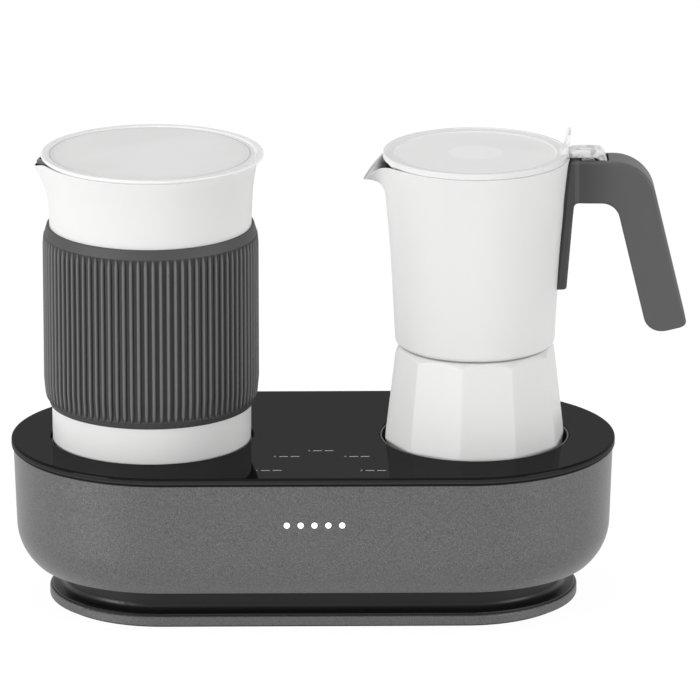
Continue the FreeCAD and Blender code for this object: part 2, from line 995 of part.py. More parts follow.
def jug_seat():
    """Plate that the jug stands on; its lip rests on the deck frame inside the glass."""
    lower = seat_opening - seat_ledge - fit_gap
    return turned([
        (0, glass_bottom - seat_lip),
        (lower, glass_bottom - seat_lip),
        (lower, glass_bottom),
        (seat_opening - fit_gap, glass_bottom),
        (seat_opening - fit_gap, jug_z, 0.5),
        (0, jug_z),
    ], -station_x)


def jug_heater():
    """Flat film heater against the underside of the jug's seat."""
    top = glass_bottom - seat_lip
    low = top - film_thickness
    film = turned([(film_inner, low), (film_outer, low), (film_outer, top), (film_inner, top)], -station_x)
    tail = block(-station_x + film_inner + 4, -station_x + film_inner + 16, -3, 3, low - 5, low + 0.5)
    return fused([film, tail])


def rotor_top():
    return glass_bottom - seat_lip - rotor_gap


def drive_rotor():
    """Carrier disc of the driving magnets, on the motor's shaft."""
    top = rotor_top()
    low = top - rotor_thickness
    hub = low - 2.0
    disc = turned([
        (shaft_radius + press_gap, hub),
        (5, hub),
        (5, low),
        (rotor_radius, low, 1),
        (rotor_radius, top, 0.6),
        (shaft_radius + press_gap, top),
    ], -station_x)
    pockets = [
        rod(magnet_radius + shaft_gap, top - magnet_depth - shaft_gap, top + 1, x, y)
        for x, y in ring_points(magnet_count, magnet_circle, 45, -station_x)
    ]
    return disc.cut(Part.makeCompound(pockets))


def drive_magnets():
    """Round magnets in the carrier disc."""
    top = rotor_top() - shaft_gap
    spots = ring_points(magnet_count, magnet_circle, 45, -station_x)
    return Part.makeCompound([rod(magnet_radius, top - magnet_depth + shaft_gap, top, x, y) for x, y in spots])


def bracket_top():
    return rotor_top() - rotor_thickness - rotor_clearance


def motor_shaft():
    """Shaft from the motor up into the carrier disc."""
    top = rotor_top() - 0.5
    return turned([
        (0, top - shaft_length),
        (shaft_radius, top - shaft_length),
        (shaft_radius, top, 0.3),
        (0, top),
    ], -station_x)


def drive_motor():
    """Motor can hung under its bracket, with a bearing boss and a bore for the shaft."""
    top = bracket_top() - bracket_thickness
    low = top - motor_height
    boss = top + motor_boss_height
    shaft_end = rotor_top() - 0.5 - shaft_length - lift_gap
    can = turned([
        (0, low - 2.5),
        (6, low - 2.5, 0.5),
        (6, low),
        (motor_radius, low, 1.5),
        (motor_radius, top, 1.5),
        (motor_boss_radius, top),
        (motor_boss_radius, boss),
        (shaft_radius + shaft_gap, boss),
        (shaft_radius + shaft_gap, shaft_end),
        (0, shaft_end),
    ], -station_x)
    hole = motor_screw_radius + shaft_gap
    end = top - motor_screw_depth - 0.5
    cuts = [rod(hole, end, top + 1, -station_x + side * motor_screw_offset) for side in (-1, 1)]
    return can.cut(Part.makeCompound(cuts))


def motor_bracket():
    """Plate on four legs that carries the motor above the body's floor."""
    top = bracket_top()
    low = top - bracket_thickness
    half_x = bracket_length / 2
    half_y = bracket_width / 2
    outline = [(-half_x, -half_y, 5), (half_x, -half_y, 5), (half_x, half_y, 5), (-half_x, half_y, 5)]
    plate = extruded(outline, xy, V(0, 0, bracket_thickness), V(-station_x, 0, low))
    legs = []
    for side_x in (-1, 1):
        for side_y in (-1, 1):
            x = -station_x + side_x * bracket_leg_x
            legs.append(rod(bracket_leg, floor_top, low, x, side_y * bracket_leg_y))
    frame = fused([plate] + legs)
    frame = frame.cut(rod(motor_boss_radius + fit_gap, low - 1, top + 1, -station_x))
    for side in (-1, 1):
        x = -station_x + side * motor_screw_offset
        frame = frame.cut(rod(motor_screw_radius + lift_gap, low - 1, top + 1, x))
    return frame


def motor_screws():
    """Two screws from the bracket down into the motor."""
    top = bracket_top()
    tip = top - bracket_thickness - motor_screw_depth
    screws = []
    for side in (-1, 1):
        x = -station_x + side * motor_screw_offset
        corners = [(0, tip), (motor_screw_radius, tip), (motor_screw_radius, top), (motor_screw_head, top)]
        corners += [(motor_screw_head, top + motor_screw_head_height, 0.4), (0, top + motor_screw_head_height)]
        screws.append(turned(corners, x))
    return Part.makeCompound(screws)


def control_board():
    """Power and control board with its tallest components."""
    low = floor_top + board_rise
    top = low + board_thickness
    half_x = board_length / 2
    half_y = board_width / 2
    board = block(board_x - half_x, board_x + half_x, board_y - half_y, board_y + half_y, low, top)
    parts = [board]
    parts.append(block(board_x - 32, board_x - 10, board_y + 4, board_y + 24, top, top + 17))
    parts.append(block(board_x + 2, board_x + 21, board_y + 6, board_y + 22, top, top + 15))
    parts.append(block(board_x + 24, board_x + 38, board_y - 6, board_y + 6, top, top + 12))
    parts.append(block(board_x - 8, board_x + 8, board_y - 24, board_y - 10, top, top + 3))
    for x, y in ((-30, -16), (-19, -16), (18, -18)):
        parts.append(turned([
            (0, top),
            (4.5, top),
            (4.5, top + 14, 0.8),
            (0, top + 14),
        ], board_x + x, board_y + y))
    holes = [rod(screw_radius + lift_gap, low - 1, top + 1, x, y) for x, y in board_spots()]
    return fused(parts).cut(Part.makeCompound(holes))


def board_screws():
    """Screws that hold the control board on its posts."""
    top = floor_top + board_rise + board_thickness
    tip = top - board_thickness - board_screw_length
    screws = []
    for x, y in board_spots():
        corners = [(0, tip), (screw_radius, tip), (screw_radius, top), (screw_head, top)]
        corners += [(screw_head, top + screw_head_height, 0.5), (0, top + screw_head_height)]
        screws.append(turned(corners, x, y))
    return Part.makeCompound(screws)


def touch_board():
    """Touch and indicator board pressed against the underside of the glass."""
    low = glass_bottom - board_thickness
    board = extruded(touch_outline(0), xy, V(0, 0, board_thickness), V(0, 0, low))
    chip_y = 15 - touch_front
    plug_y = 29 - touch_front
    chip = block(-6, 6, chip_y, chip_y + 10, low - 1.4, low)
    plug = block(-24, -12, plug_y, plug_y + 6, low - 4, low)
    return fused([board, chip, plug])


def light_pipe():
    """Clear bar behind the front wall with a round pin for each status light."""
    half_x = light_board_length / 2 - 2
    half_z = light_bar_height / 2
    back = light_bar_back()
    front = room_radius(light_z - half_z, light_z + half_z) - fit_gap
    bar = block(-half_x, half_x, -front, -back, light_z - half_z, light_z + half_z)
    pins = []
    reach = body_outer_radius(light_z) + light_proud
    for x in light_spots():
        pins.append(rod_along(light_radius, V(x, -back, light_z), V(0, -1, 0), reach - back))
    return fused([bar] + pins)


def light_board():
    """Small board that lights the status lights, held between two ribs."""
    front = light_bar_back()
    back = front - board_thickness
    half_x = light_board_length / 2
    half_z = light_board_height / 2
    board = block(-half_x, half_x, -front, -back, light_z - half_z, light_z + half_z)
    plug = block(-5, 5, -back, -back + 5, light_z - 3, light_z + 3)
    return fused([board, plug])


def rounded_slab(length, height, y0, y1, radius):
    """Slab across Y with an upright rounded outline at the inlet."""
    x = length / 2
    z = height / 2
    corners = [
        (-x, inlet_z - z, radius),
        (x, inlet_z - z, radius),
        (x, inlet_z + z, radius),
        (-x, inlet_z + z, radius),
    ]
    return extruded(corners, xz, V(0, y1 - y0, 0), V(0, y0, 0))


def blade_spots():
    """Live, neutral and earth blades as (x, z)."""
    half = blade_pitch / 2
    return [(-half, inlet_z - earth_rise / 2), (half, inlet_z - earth_rise / 2), (0, inlet_z + earth_rise / 2)]


def mains_inlet():
    """Moulded three-pole inlet with its flange in the recess of the back wall."""
    face = inlet_plane() + inlet_flange
    body = fused([
        rounded_slab(inlet_flange_x, inlet_flange_z, inlet_plane(), face, inlet_round - lift_gap),
        rounded_slab(inlet_body_x, inlet_body_z, face - inlet_depth, inlet_plane(), inlet_round - fit_gap),
    ])
    body = body.cut(rounded_slab(socket_x, socket_z, face - socket_depth, face + 1, inlet_round))
    slots = []
    for x, z in blade_spots():
        half_x = blade_thickness / 2 + shaft_gap
        half_z = blade_width / 2 + shaft_gap
        start = face - inlet_depth - 1
        end = face - socket_depth + 1
        slots.append(block(x - half_x, x + half_x, start, end, z - half_z, z + half_z))
    return body.cut(Part.makeCompound(slots))


def inlet_pins():
    """Three brass blades through the inlet's inner wall."""
    face = inlet_plane() + inlet_flange
    front = face - inlet_depth - blade_tail
    back = face - socket_depth + blade_length
    blades = []
    for x, z in blade_spots():
        half_x = blade_thickness / 2
        half_z = blade_width / 2
        blades.append(extruded([
            (x - half_x, front),
            (x + half_x, front),
            (x + half_x, back, 0.6),
            (x - half_x, back, 0.6),
        ], xy, V(0, 0, blade_width), V(0, 0, z - half_z)))
    return Part.makeCompound(blades)


def beak_wire(axis_x, z, radius, centre, tip_round, angle):
    """Plan of a pouring beak: two sides from the vessel's wall tangent to a round tip."""
    turn = math.radians(angle)
    side = V(-radius * math.cos(turn), radius * math.sin(turn), 0)
    middle = V(-centre, 0, 0)
    span = side - middle
    swing = math.atan2(span.y, span.x) + math.acos(tip_round / span.Length)
    touch = middle + V(tip_round * math.cos(swing), tip_round * math.sin(swing), 0)
    tip = V(-centre - tip_round, 0, 0)
    lift = V(axis_x, 0, z)

    def mirrored(point):
        return V(point.x, -point.y, 0)

    return Part.Wire([
        Part.LineSegment(side + lift, touch + lift).toShape(),
        Part.Arc(touch + lift, tip + lift, mirrored(touch) + lift).toShape(),
        Part.LineSegment(mirrored(touch) + lift, mirrored(side) + lift).toShape(),
        Part.LineSegment(mirrored(side) + lift, side + lift).toShape(),
    ])


def droop_cut(axis_x, start, reach, top, drop):
    """What is cut away above a beak's falling rim."""
    begin = V(axis_x - start, 0, top)
    middle = V(axis_x - start - 0.72 * (reach - start), 0, top - 0.4 * drop)
    end = V(axis_x - reach - 0.3, 0, top - drop)
    outside = V(axis_x - reach - 6, 0, top - drop)
    above = V(axis_x - reach - 6, 0, top + 6)
    back = V(axis_x - start, 0, top + 6)
    edges = [Part.Arc(begin, middle, end).toShape()]
    for first, second in ((end, outside), (outside, above), (above, back), (back, begin)):
        edges.append(Part.LineSegment(first, second).toShape())
    width = 2 * reach
    return Part.Face(Part.Wire(edges)).extrude(V(0, width, 0)).translated(V(0, -width / 2, 0))


def jug_radius(z):
    """Outer radius of the jug's body below its flare."""
    low = jug_z + jug_foot_height
    neck = jug_z + jug_neck_height
    share = (z - low) / (neck - low)
    return jug_low_radius + share * (jug_neck_radius - jug_low_radius)


def jug_form(inset, floor, bottom, top):
    """Outer form of the jug with its beak, drawn in by an inset and kept between two heights."""
    neck = jug_z + jug_neck_height
    body = turned([
        (0, floor),
        (jug_foot_radius - inset, floor, 1.2),
        (jug_low_radius - inset, floor + jug_foot_height),
        (jug_neck_radius - inset, neck, jug_flare),
        (jug_rim_radius - inset, jug_top),
        (0, jug_top),
    ], -station_x)
    low = jug_top - jug_beak_height
    flare = (jug_rim_radius - jug_neck_radius) / (jug_top - neck)
    sections = []
    for share, reach in jug_beak_sweep:
        z = low + share * jug_beak_height
        radius = jug_neck_radius + flare * (z - neck) - inset
        start = jug_neck_radius - 1.5
        tip = start + reach * (jug_beak_reach - start)
        centre = tip - jug_beak_round
        rounding = jug_beak_round - inset
        sections.append(beak_wire(-station_x, z, radius - 0.5, centre, rounding, jug_beak_angle))
    beak = Part.makeLoft(sections, True, False)
    form = body.fuse(beak).cut(droop_cut(-station_x, jug_beak_start, jug_beak_reach, jug_top, jug_beak_drop))
    limit = 2 * jug_beak_reach
    keep = block(-station_x - limit, -station_x + limit, -limit, limit, bottom, top)
    return form.common(keep)


def milk_jug():
    """White outer wall of the double-walled jug, with a pouring beak."""
    outer = jug_form(0, jug_z, jug_z, jug_top)
    inner = jug_form(jug_wall, jug_z + jug_floor, jug_z, jug_top)
    return outer.cut(inner)


def liner_floor():
    return jug_z + jug_floor + jug_air_gap


def jug_liner():
    """Dark inner pot of the jug, with a hole for the whisk's pin."""
    air = jug_wall + jug_air_gap
    top = jug_top - liner_drop
    floor = liner_floor() + liner_wall
    outer = jug_form(air, liner_floor(), liner_floor(), top)
    collar = jug_form(jug_wall + fit_gap, liner_floor(), jug_top - liner_collar, top)
    inner = jug_form(air + liner_wall, floor, floor, top)
    seat = rod(4.5, liner_floor(), floor + 0.6, -station_x)
    pot = fused([outer.fuse(collar).cut(inner), seat])
    return pot.cut(rod(whisk_pin_radius + press_gap, liner_floor() - 1, floor + 5, -station_x))


def whisk_pin():
    """Steel pin in the liner's floor that the whisk turns on."""
    low = liner_floor() + shaft_gap
    return turned([
        (0, low),
        (whisk_pin_radius, low),
        (whisk_pin_radius, low + whisk_pin_length, 0.6),
        (0, low + whisk_pin_length),
    ], -station_x)


def whisk_low():
    return liner_floor() + liner_wall + 0.6 + lift_gap


def whisk_hub():
    """Hub of the whisk with a blind bore for the pin."""
    low = whisk_low()
    top = low + hub_height
    bore = whisk_pin_radius + 0.06
    roof = liner_floor() + shaft_gap + whisk_pin_length + lift_gap
    hub = turned([
        (bore, low),
        (hub_radius, low, 0.8),
        (hub_radius, low + 5, 1.2),
        (4.2, low + 7, 1.2),
        (3.4, top, 1.0),
        (0, top),
        (0, roof),
        (bore, roof),
    ], -station_x)
    pockets = [
        rod(hub_magnet_radius + shaft_gap, low - 1, low + hub_magnet_depth, x, y)
        for x, y in ring_points(magnet_count, hub_magnet_circle, 45, -station_x)
    ]
    return hub.cut(Part.makeCompound(pockets))


def hub_magnets():
    """Small magnets in the whisk's hub."""
    low = whisk_low() + fit_gap
    spots = ring_points(magnet_count, hub_magnet_circle, 45, -station_x)
    top = low + hub_magnet_depth - 2 * fit_gap
    return Part.makeCompound([rod(hub_magnet_radius, low, top, x, y) for x, y in spots])


def whisk_ring():
    """Ring with pitched blades that whisks the milk, clipped round the hub."""
    low = whisk_low() + 1.0
    outer = turned([
        (whisk_radius - whisk_ring_wall, low),
        (whisk_radius, low, 0.5),
        (whisk_radius, low + whisk_ring_height, 0.5),
        (whisk_radius - whisk_ring_wall, low + whisk_ring_height),
    ], -station_x)
    collar = turned([
        (hub_radius + shaft_gap, low),
        (hub_radius + 1.6, low),
        (hub_radius + 1.6, low + whisk_ring_height),
        (hub_radius + shaft_gap, low + whisk_ring_height),
    ], -station_x)
    blades = []
    for index in range(whisk_blade_count):
        half = whisk_blade_thickness / 2
        length = whisk_radius - hub_radius - whisk_ring_wall
        blade = block(0, length, -half, half, -whisk_blade_height / 2, whisk_blade_height / 2)
        blade.rotate(V(0, 0, 0), V(1, 0, 0), 35)
        blade.translate(V(hub_radius + 0.8, 0, low + whisk_ring_height / 2))
        blade.rotate(V(0, 0, 0), UP, 360.0 * index / whisk_blade_count)
        blades.append(blade.translated(V(-station_x, 0, 0)))
    return fused([outer, collar] + blades)


def jug_sleeve():
    """Silicone sleeve with upright grooves that run out in its rounded shoulders."""
    low = jug_z + sleeve_bottom
    top = low + sleeve_height
    inner_low = jug_radius(low) + fit_gap
    inner_top = jug_radius(top) + 3 * fit_gap
    sleeve = turned([
        (inner_low - 1, low),
        (inner_low + sleeve_edge, low, 0.4),
        (sleeve_radius, low + sleeve_low_run, 34),
        (sleeve_radius, top - sleeve_top_run, 14),
        (inner_top + sleeve_edge, top, 0.5),
        (inner_top - 1, top),
    ], -station_x)
    sleeve = sleeve.cut(jug_form(-fit_gap, jug_z, low, top))
    floor = sleeve_radius - groove_depth
    mouth = sleeve_radius + 0.5
    half = groove_width / 2 * (mouth - floor) / groove_depth
    grooves = []
    for index in range(rib_count):
        groove = extruded([(floor, 0), (mouth, -half), (mouth, half)], xy, V(0, 0, sleeve_height), V(0, 0, low))
        groove.rotate(V(0, 0, 0), UP, 360.0 * (index + 0.5) / rib_count)
        grooves.append(groove.translated(V(-station_x, 0, 0)))
    return sleeve.cut(Part.makeCompound(grooves))


def liner_radius(z):
    """Inner radius of the liner in its flare."""
    neck = jug_z + jug_neck_height
    flare = (jug_rim_radius - jug_neck_radius) / (jug_top - neck)
    return jug_neck_radius + flare * (z - neck) - jug_wall - jug_air_gap - liner_wall


def seal_bottom():
    return jug_top - seal_drop - seal_height


def seal_radius():
    return liner_radius(seal_bottom()) - lift_gap


def plug_radius():
    return seal_radius() - seal_width


def jug_lid():
    """Frosted lid: a plug ring and a shallow dish with a rounded rim, set off away from the beak."""
    low = jug_top + lift_gap
    top = low + jug_lid_rim
    inner = plug_radius()
    floor_edge = jug_lid_radius - jug_lid_rim_width
    plug = turned([
        (inner - plug_wall, low + 0.5 * jug_lid_floor),
        (inner - plug_wall, jug_top - plug_depth, 0.5),
        (inner - 1.0, jug_top - plug_depth, 0.5),
        (inner, low - 0.5),
        (inner, low + 0.5 * jug_lid_floor),
    ], -station_x)
    dish = turned([
        (0, low),
        (jug_lid_radius - 0.8, low, 0.5),
        (jug_lid_radius, low + 0.5 * jug_lid_rim, 0.8),
        (jug_lid_radius - 0.6, top, 0.8),
        (floor_edge + 0.8, top, 0.7),
        (floor_edge, low + jug_lid_floor, 0.4),
        (0, low + jug_lid_floor),
    ], -station_x + jug_lid_shift)
    return fused([dish, plug])


def lid_seal():
    """Soft seal ring round the lid's plug."""
    z = seal_bottom()
    inner = plug_radius()
    outer = seal_radius()
    return turned([
        (inner + fit_gap, z),
        (outer, z, 0.5),
        (outer, z + seal_height, 0.5),
        (inner + fit_gap, z + seal_height),
    ], -station_x)


def facet_plan(corner_radius, z):
    """Ten-sided plan of the boiler at one height."""
    points = []
    for index in range(facet_count):
        angle = math.radians(-90 + facet_turn + 360.0 * index / facet_count)
        points.append(V(station_x + corner_radius * math.cos(angle), corner_radius * math.sin(angle), z))
    return Part.makePolygon(points + [points[0]])


def boiler_corner(z):
    """Corner radius of the faceted form at a height."""
    share = (z - pot_z) / boiler_height
    return boiler_low_corner + share * (boiler_top_corner - boiler_low_corner)


def valve_direction():
    """Outward direction of the facet at the back that carries the safety valve."""
    angle = math.radians(-90 + facet_turn + 180.0 / facet_count + 180.0)
    return V(math.cos(angle), math.sin(angle), 0)


def valve_seat():
    """Distance from the pot's axis to the outer face of the valve's boss."""
    flat = math.cos(math.pi / facet_count)
    return boiler_corner(pot_z + valve_z) * flat + valve_boss_proud


def valve_start(distance):
    return V(station_x, 0, pot_z + valve_z) + valve_direction() * distance


def boiler():
    """Faceted water chamber: ten flats cut by a round shoulder above and a round foot below."""
    flats = Part.makeLoft([
        facet_plan(boiler_low_corner, pot_z),
        facet_plan(boiler_top_corner, boiler_top),
    ], True, True)
    limit = turned([
        (0, pot_z),
        (boiler_foot_radius, pot_z, boiler_foot_round),
        (boiler_side_radius, pot_z + 7, 6),
        (boiler_side_radius, pot_z + 13),
        (shoulder_radius, pot_z + shoulder_rise, shoulder_round),
        (shoulder_top_radius, boiler_top, 1.2),
        (0, boiler_top),
    ], station_x)
    neck = turned([
        (0, boiler_top - 1),
        (neck_radius, boiler_top - 1),
        (neck_radius, neck_top, 0.5),
        (0, neck_top),
    ], station_x)
    boss = rod_along(valve_boss, valve_start(valve_seat() - 6), valve_direction(), 6)
    outer = fused([flats.common(limit), neck, boss])
    flat = math.cos(math.pi / facet_count)
    low_radius = boiler_corner(pot_z + 12) * flat - boiler_wall
    high_z = pot_z + shoulder_rise - 3
    high_radius = boiler_corner(high_z) * flat - boiler_wall
    inner = turned([
        (0, pot_z + boiler_floor),
        (low_radius - 1, pot_z + boiler_floor, 4),
        (low_radius, pot_z + 12),
        (high_radius, high_z, 3),
        (neck_bore, boiler_top - boiler_wall, 1),
        (neck_bore, neck_top),
        (0, neck_top),
    ], station_x)
    bore = rod_along(valve_thread + shaft_gap, valve_start(valve_seat() - 14), valve_direction(), 15)
    return outer.cut(inner).cut(bore)


def valve_solid(corners):
    """Turned piece on the safety valve's axis, lengths counted outward from the valve's seat."""
    solid = Part.Face(rounded_wire(corners)).revolve(V(0, 0, 0), UP, 360)
    solid.rotate(V(0, 0, 0), V(0, 1, 0), 90)
    direction = valve_direction()
    solid.rotate(V(0, 0, 0), UP, math.degrees(math.atan2(direction.y, direction.x)))
    return solid.translated(valve_start(valve_seat()))


def safety_valve():
    """Brass safety valve: a threaded shank, a hexagon and a bored nose."""
    shank = valve_solid([
        (valve_bore, -5.5),
        (valve_thread, -5.5),
        (valve_thread, 0),
        (valve_hex - 0.4, 0),
        (valve_hex - 0.4, valve_length, 1.2),
        (valve_bore, valve_length),
    ])
    points = []
    for index in range(6):
        angle = math.radians(60.0 * index)
        points.append((valve_hex * math.cos(angle), valve_hex * math.sin(angle)))
    hexagon = extruded(points, xy, V(0, 0, 3))
    hexagon = hexagon.cut(rod(valve_bore, -1, 4))
    hexagon.rotate(V(0, 0, 0), V(0, 1, 0), 90)
    direction = valve_direction()
    hexagon.rotate(V(0, 0, 0), UP, math.degrees(math.atan2(direction.y, direction.x)))
    return fused([shank, hexagon.translated(valve_start(valve_seat()))])


def valve_pin():
    """Small pin that shows in the nose of the safety valve."""
    end = valve_length + valve_pin_proud
    return valve_solid([
        (0, end - valve_pin_length),
        (valve_pin_radius, end - valve_pin_length),
        (valve_pin_radius, end, 0.4),
        (0, end),
    ])


def funnel():
    """Coffee basket on a stem that reaches down into the water."""
    top = neck_top + funnel_flange
    outer = neck_bore - funnel_gap
    inner = outer - funnel_wall
    basket = top - basket_depth
    cone = basket - basket_cone
    stem_in = stem_radius - funnel_wall
    foot = pot_z + boiler_floor + stem_clearance
    floor = basket + funnel_wall
    shell = turned([
        (stem_in, foot),
        (stem_radius, foot),
        (stem_radius, cone, 1.5),
        (outer, basket - 0.5, 1.5),
        (outer, neck_top + shaft_gap),
        (funnel_flange_radius, neck_top + shaft_gap),
        (funnel_flange_radius, top),
        (inner, top),
        (inner, floor),
        (0, floor),
        (0, basket),
        (inner - 2.5, basket),
        (stem_in, cone + 1.2),
    ], station_x)
    holes = []
    for count, radius in ((funnel_hole_count, 7.0), (2 * funnel_hole_count, 15.0)):
        for x, y in ring_points(count, radius, 0, station_x):
            holes.append(rod(funnel_hole, basket - 1, floor + 1, x, y))
    return shell.cut(Part.makeCompound(holes))


def pot_gasket():
    """Rubber ring between the funnel's rim and the upper chamber."""
    outer = neck_radius + thread_gap - lift_gap
    top = gasket_z + gasket_height
    return turned([
        (gasket_inner, gasket_z, 0.4),
        (outer, gasket_z, 0.4),
        (outer, top, 0.4),
        (gasket_inner, top, 0.4),
    ], station_x)


def filter_plate():
    """Perforated disc above the gasket."""
    top = filter_z + filter_thickness
    disc = turned([(0, filter_z), (filter_radius, filter_z), (filter_radius, top, 0.3), (0, top)], station_x)
    holes = [rod(filter_hole, filter_z - 1, top + 1, station_x)]
    for count, radius in ((filter_hole_count, 7.0), (2 * filter_hole_count, 14.5)):
        for x, y in ring_points(count, radius, 0, station_x):
            holes.append(rod(filter_hole, filter_z - 1, top + 1, x, y))
    return disc.cut(Part.makeCompound(holes))


def chamber_radius(z):
    """Outer radius of the upper chamber's two straight stretches."""
    mid = chamber_z + chamber_mid_height
    if z < mid:
        share = (z - chamber_z) / chamber_mid_height
        return chamber_low_radius + share * (chamber_mid_radius - chamber_low_radius)
    share = (z - mid) / (chamber_top - mid)
    return chamber_mid_radius + share * (chamber_top_radius - chamber_mid_radius)


def chamber_form(inset, floor, foot_round):
    """Outer form of the upper chamber without its beak, drawn in by an inset."""
    return turned([
        (0, floor),
        (chamber_radius(floor) - inset, floor, foot_round),
        (chamber_mid_radius - inset, chamber_z + chamber_mid_height, chamber_flare),
        (chamber_top_radius - inset, chamber_top),
        (0, chamber_top),
    ], station_x)


def spout_form(inset):
    """Beak of the upper chamber: a keel that sweeps out below and upright sides above."""
    tip_z = chamber_top - spout_drop - spout_lip
    angle = spout_angle
    tip_round = spout_round - inset
    sections = []
    for below, back in spout_keel:
        z = tip_z - below
        centre = spout_reach - back - spout_round
        sections.append(beak_wire(station_x, z, chamber_radius(z) - inset - 0.8, centre, tip_round, angle))
    keel = Part.makeLoft(sections, True, True)
    centre = spout_reach - spout_round
    sides = Part.makeLoft([
        beak_wire(station_x, tip_z, chamber_radius(tip_z) - inset - 0.8, centre, tip_round, angle),
        beak_wire(station_x, chamber_top, chamber_radius(chamber_top) - inset - 0.8, centre, tip_round, angle),
    ], True, True)
    beak = keel.fuse(sides)
    return beak.translated(V(0, 0, inset * 0.5)) if inset > 0 else beak


def chamber_inner_floor():
    return filter_z + filter_thickness + fit_gap + steam_room + chamber_floor


def upper_chamber():
    """Coffee chamber: flared wall with a drooping beak, threaded collar, column and two lugs."""
    floor = chamber_inner_floor()
    outer = chamber_form(0, chamber_z, collar_round).fuse(spout_form(0))
    inner = chamber_form(chamber_wall, floor, 3.0).fuse(spout_form(chamber_wall))
    reach = 2 * chamber_top_radius
    over = chamber_top - press_gap
    above = block(station_x - reach, station_x + reach, -reach, reach, over, over + spout_drop)
    shell = outer.cut(inner).cut(above)
    shell = shell.cut(droop_cut(station_x, spout_start, spout_reach, chamber_top, spout_drop))
    lugs = []
    for rise in (lug_low, lug_high):
        z = chamber_z + rise
        start = station_x + chamber_radius(z) - chamber_wall / 2
        end = station_x + chamber_radius(z) + lug_reach
        lugs.append(block(start, end, -lug_width / 2, lug_width / 2, z - lug_height / 2, z + lug_height / 2))
    shell = fused([shell] + lugs)
    collar = neck_radius + thread_gap
    room_top = floor - chamber_floor
    hollow = turned([
        (0, chamber_z - 1),
        (collar, chamber_z - 1),
        (collar, filter_z),
        (filter_radius + fit_gap, filter_z),
        (filter_radius + fit_gap, filter_z + filter_thickness + fit_gap),
        (steam_room_radius, filter_z + filter_thickness + fit_gap),
        (steam_room_radius - 6, room_top, 2),
        (column_spigot, room_top),
        (column_spigot, floor + 1),
        (0, floor + 1),
    ], station_x)
    screw_z = chamber_z + lug_low
    pin_z = chamber_z + lug_high
    tap_start = station_x + chamber_radius(screw_z) - chamber_wall / 2
    tap = rod_along(handle_screw_radius + shaft_gap, V(tap_start, 0, screw_z), V(1, 0, 0), 12)
    pin_x = station_x + chamber_radius(pin_z) + lug_reach / 2 - 0.4
    cross = rod_along(handle_pin_radius - 0.4 + shaft_gap, V(pin_x, -15, pin_z), V(0, 1, 0), 30)
    return shell.cut(Part.makeCompound([hollow, tap, cross]))


def coffee_column():
    """Hollow column pressed into the chamber's floor, with two outlets under its closed top."""
    floor = chamber_inner_floor()
    top = floor + column_height
    roof = top - column_roof
    spigot = column_spigot - press_gap
    column = turned([
        (column_bore, floor - chamber_floor),
        (spigot, floor - chamber_floor),
        (spigot, floor),
        (column_base_radius, floor),
        (column_top_radius, top),
        (0, top),
        (0, roof),
        (column_bore, roof),
    ], station_x)
    half = outlet_width / 2
    reach = column_base_radius
    outlet = block(station_x - reach, station_x + reach, -half, half, roof - outlet_height, roof)
    return column.cut(outlet)


def column_cap():
    """Domed cap pressed on the top of the column."""
    top = chamber_inner_floor() + column_height
    return turned([
        (0, top + shaft_gap),
        (column_top_radius + 0.6, top + shaft_gap),
        (column_top_radius + 0.6, top - 2.2),
        (column_top_radius + 1.8, top - 2.2),
        (column_top_radius + 1.8, top - 0.4),
        (cap_radius, top - 0.4, 0.6),
        (cap_radius, top + cap_height - cap_dome, 1.2),
        (cap_radius - 4, top + cap_height, 3),
        (0, top + cap_height),
    ], station_x)


def handle_side():
    """Side outline of the handle: a mounting strip, an arm and a leaning grip."""
    corners = [
        (-2.1, -68.5, 1.2),
        (3.2, -68.5, 1.2),
        (6.8, -22.5, 2.6),
        (28.0, -22.7, 9.3),
        (44.8, -92.0, 8.8),
        (64.9, -87.1, 2.7),
        (43.9, -handle_drop, 21.5),
        (3.3, -handle_drop, 1.5),
        (-2.1, -5.0, 0.0),
    ]
    return [(handle_x + out, chamber_top + rise, radius) for out, rise, radius in corners]


def handle():
    """Moulded handle: rounded bar, ears for the lid's hinge and a strip that fits the chamber."""
    bar = across(handle_side(), handle_width)
    long_edges = [
        edge for edge in bar.Edges
        if abs(abs(edge.CenterOfMass.y) - handle_width / 2) < 1e-6
        and edge.BoundBox.XMin > handle_x + strip_thickness and edge.BoundBox.YLength < 1e-6
    ]
    bar = bar.makeFillet(handle_round, long_edges)
    side = strip_width / 2
    strip_top = chamber_top - strip_top_drop
    trim = []
    for sign in (-1, 1):
        y0 = min(sign * side, sign * handle_width)
        y1 = max(sign * side, sign * handle_width)
        trim.append(block(station_x, handle_x + strip_thickness, y0, y1, chamber_z, strip_top))
    bar = bar.cut(Part.makeCompound(trim))
    wall = chamber_form(-fit_gap, chamber_z, collar_round)
    rim = turned([
        (0, chamber_top - 1),
        (chamber_top_radius + fit_gap, chamber_top - 1),
        (chamber_top_radius + 0.6, chamber_top + 3),
        (0, chamber_top + 3),
    ], station_x)
    bar = bar.cut(wall).cut(rim)
    pockets = []
    for rise in (lug_low, lug_high):
        z = chamber_z + rise
        start = station_x + chamber_radius(z) - 2
        end = station_x + chamber_radius(z) + lug_reach + fit_gap
        half = lug_width / 2 + fit_gap
        tall = lug_height / 2 + fit_gap
        pockets.append(block(start, end, -half, half, z - tall, z + tall))
    screw_z = chamber_z + lug_low
    screw_x = station_x + chamber_radius(screw_z) + lug_reach
    pockets.append(rod_along(handle_screw_radius + lift_gap, V(screw_x - 1, 0, screw_z), V(1, 0, 0), 8))
    pin_z = chamber_z + lug_high
    pin_x = station_x + chamber_radius(pin_z) + lug_reach / 2 - 0.4
    reach = handle_width
    cross = handle_pin_radius - 0.4 + shaft_gap
    pockets.append(rod_along(cross, V(pin_x, -reach, pin_z), V(0, 1, 0), 2 * reach))
    bar = bar.cut(Part.makeCompound(pockets))
    return bar.cut(hinge_slot()).cut(hinge_bore())


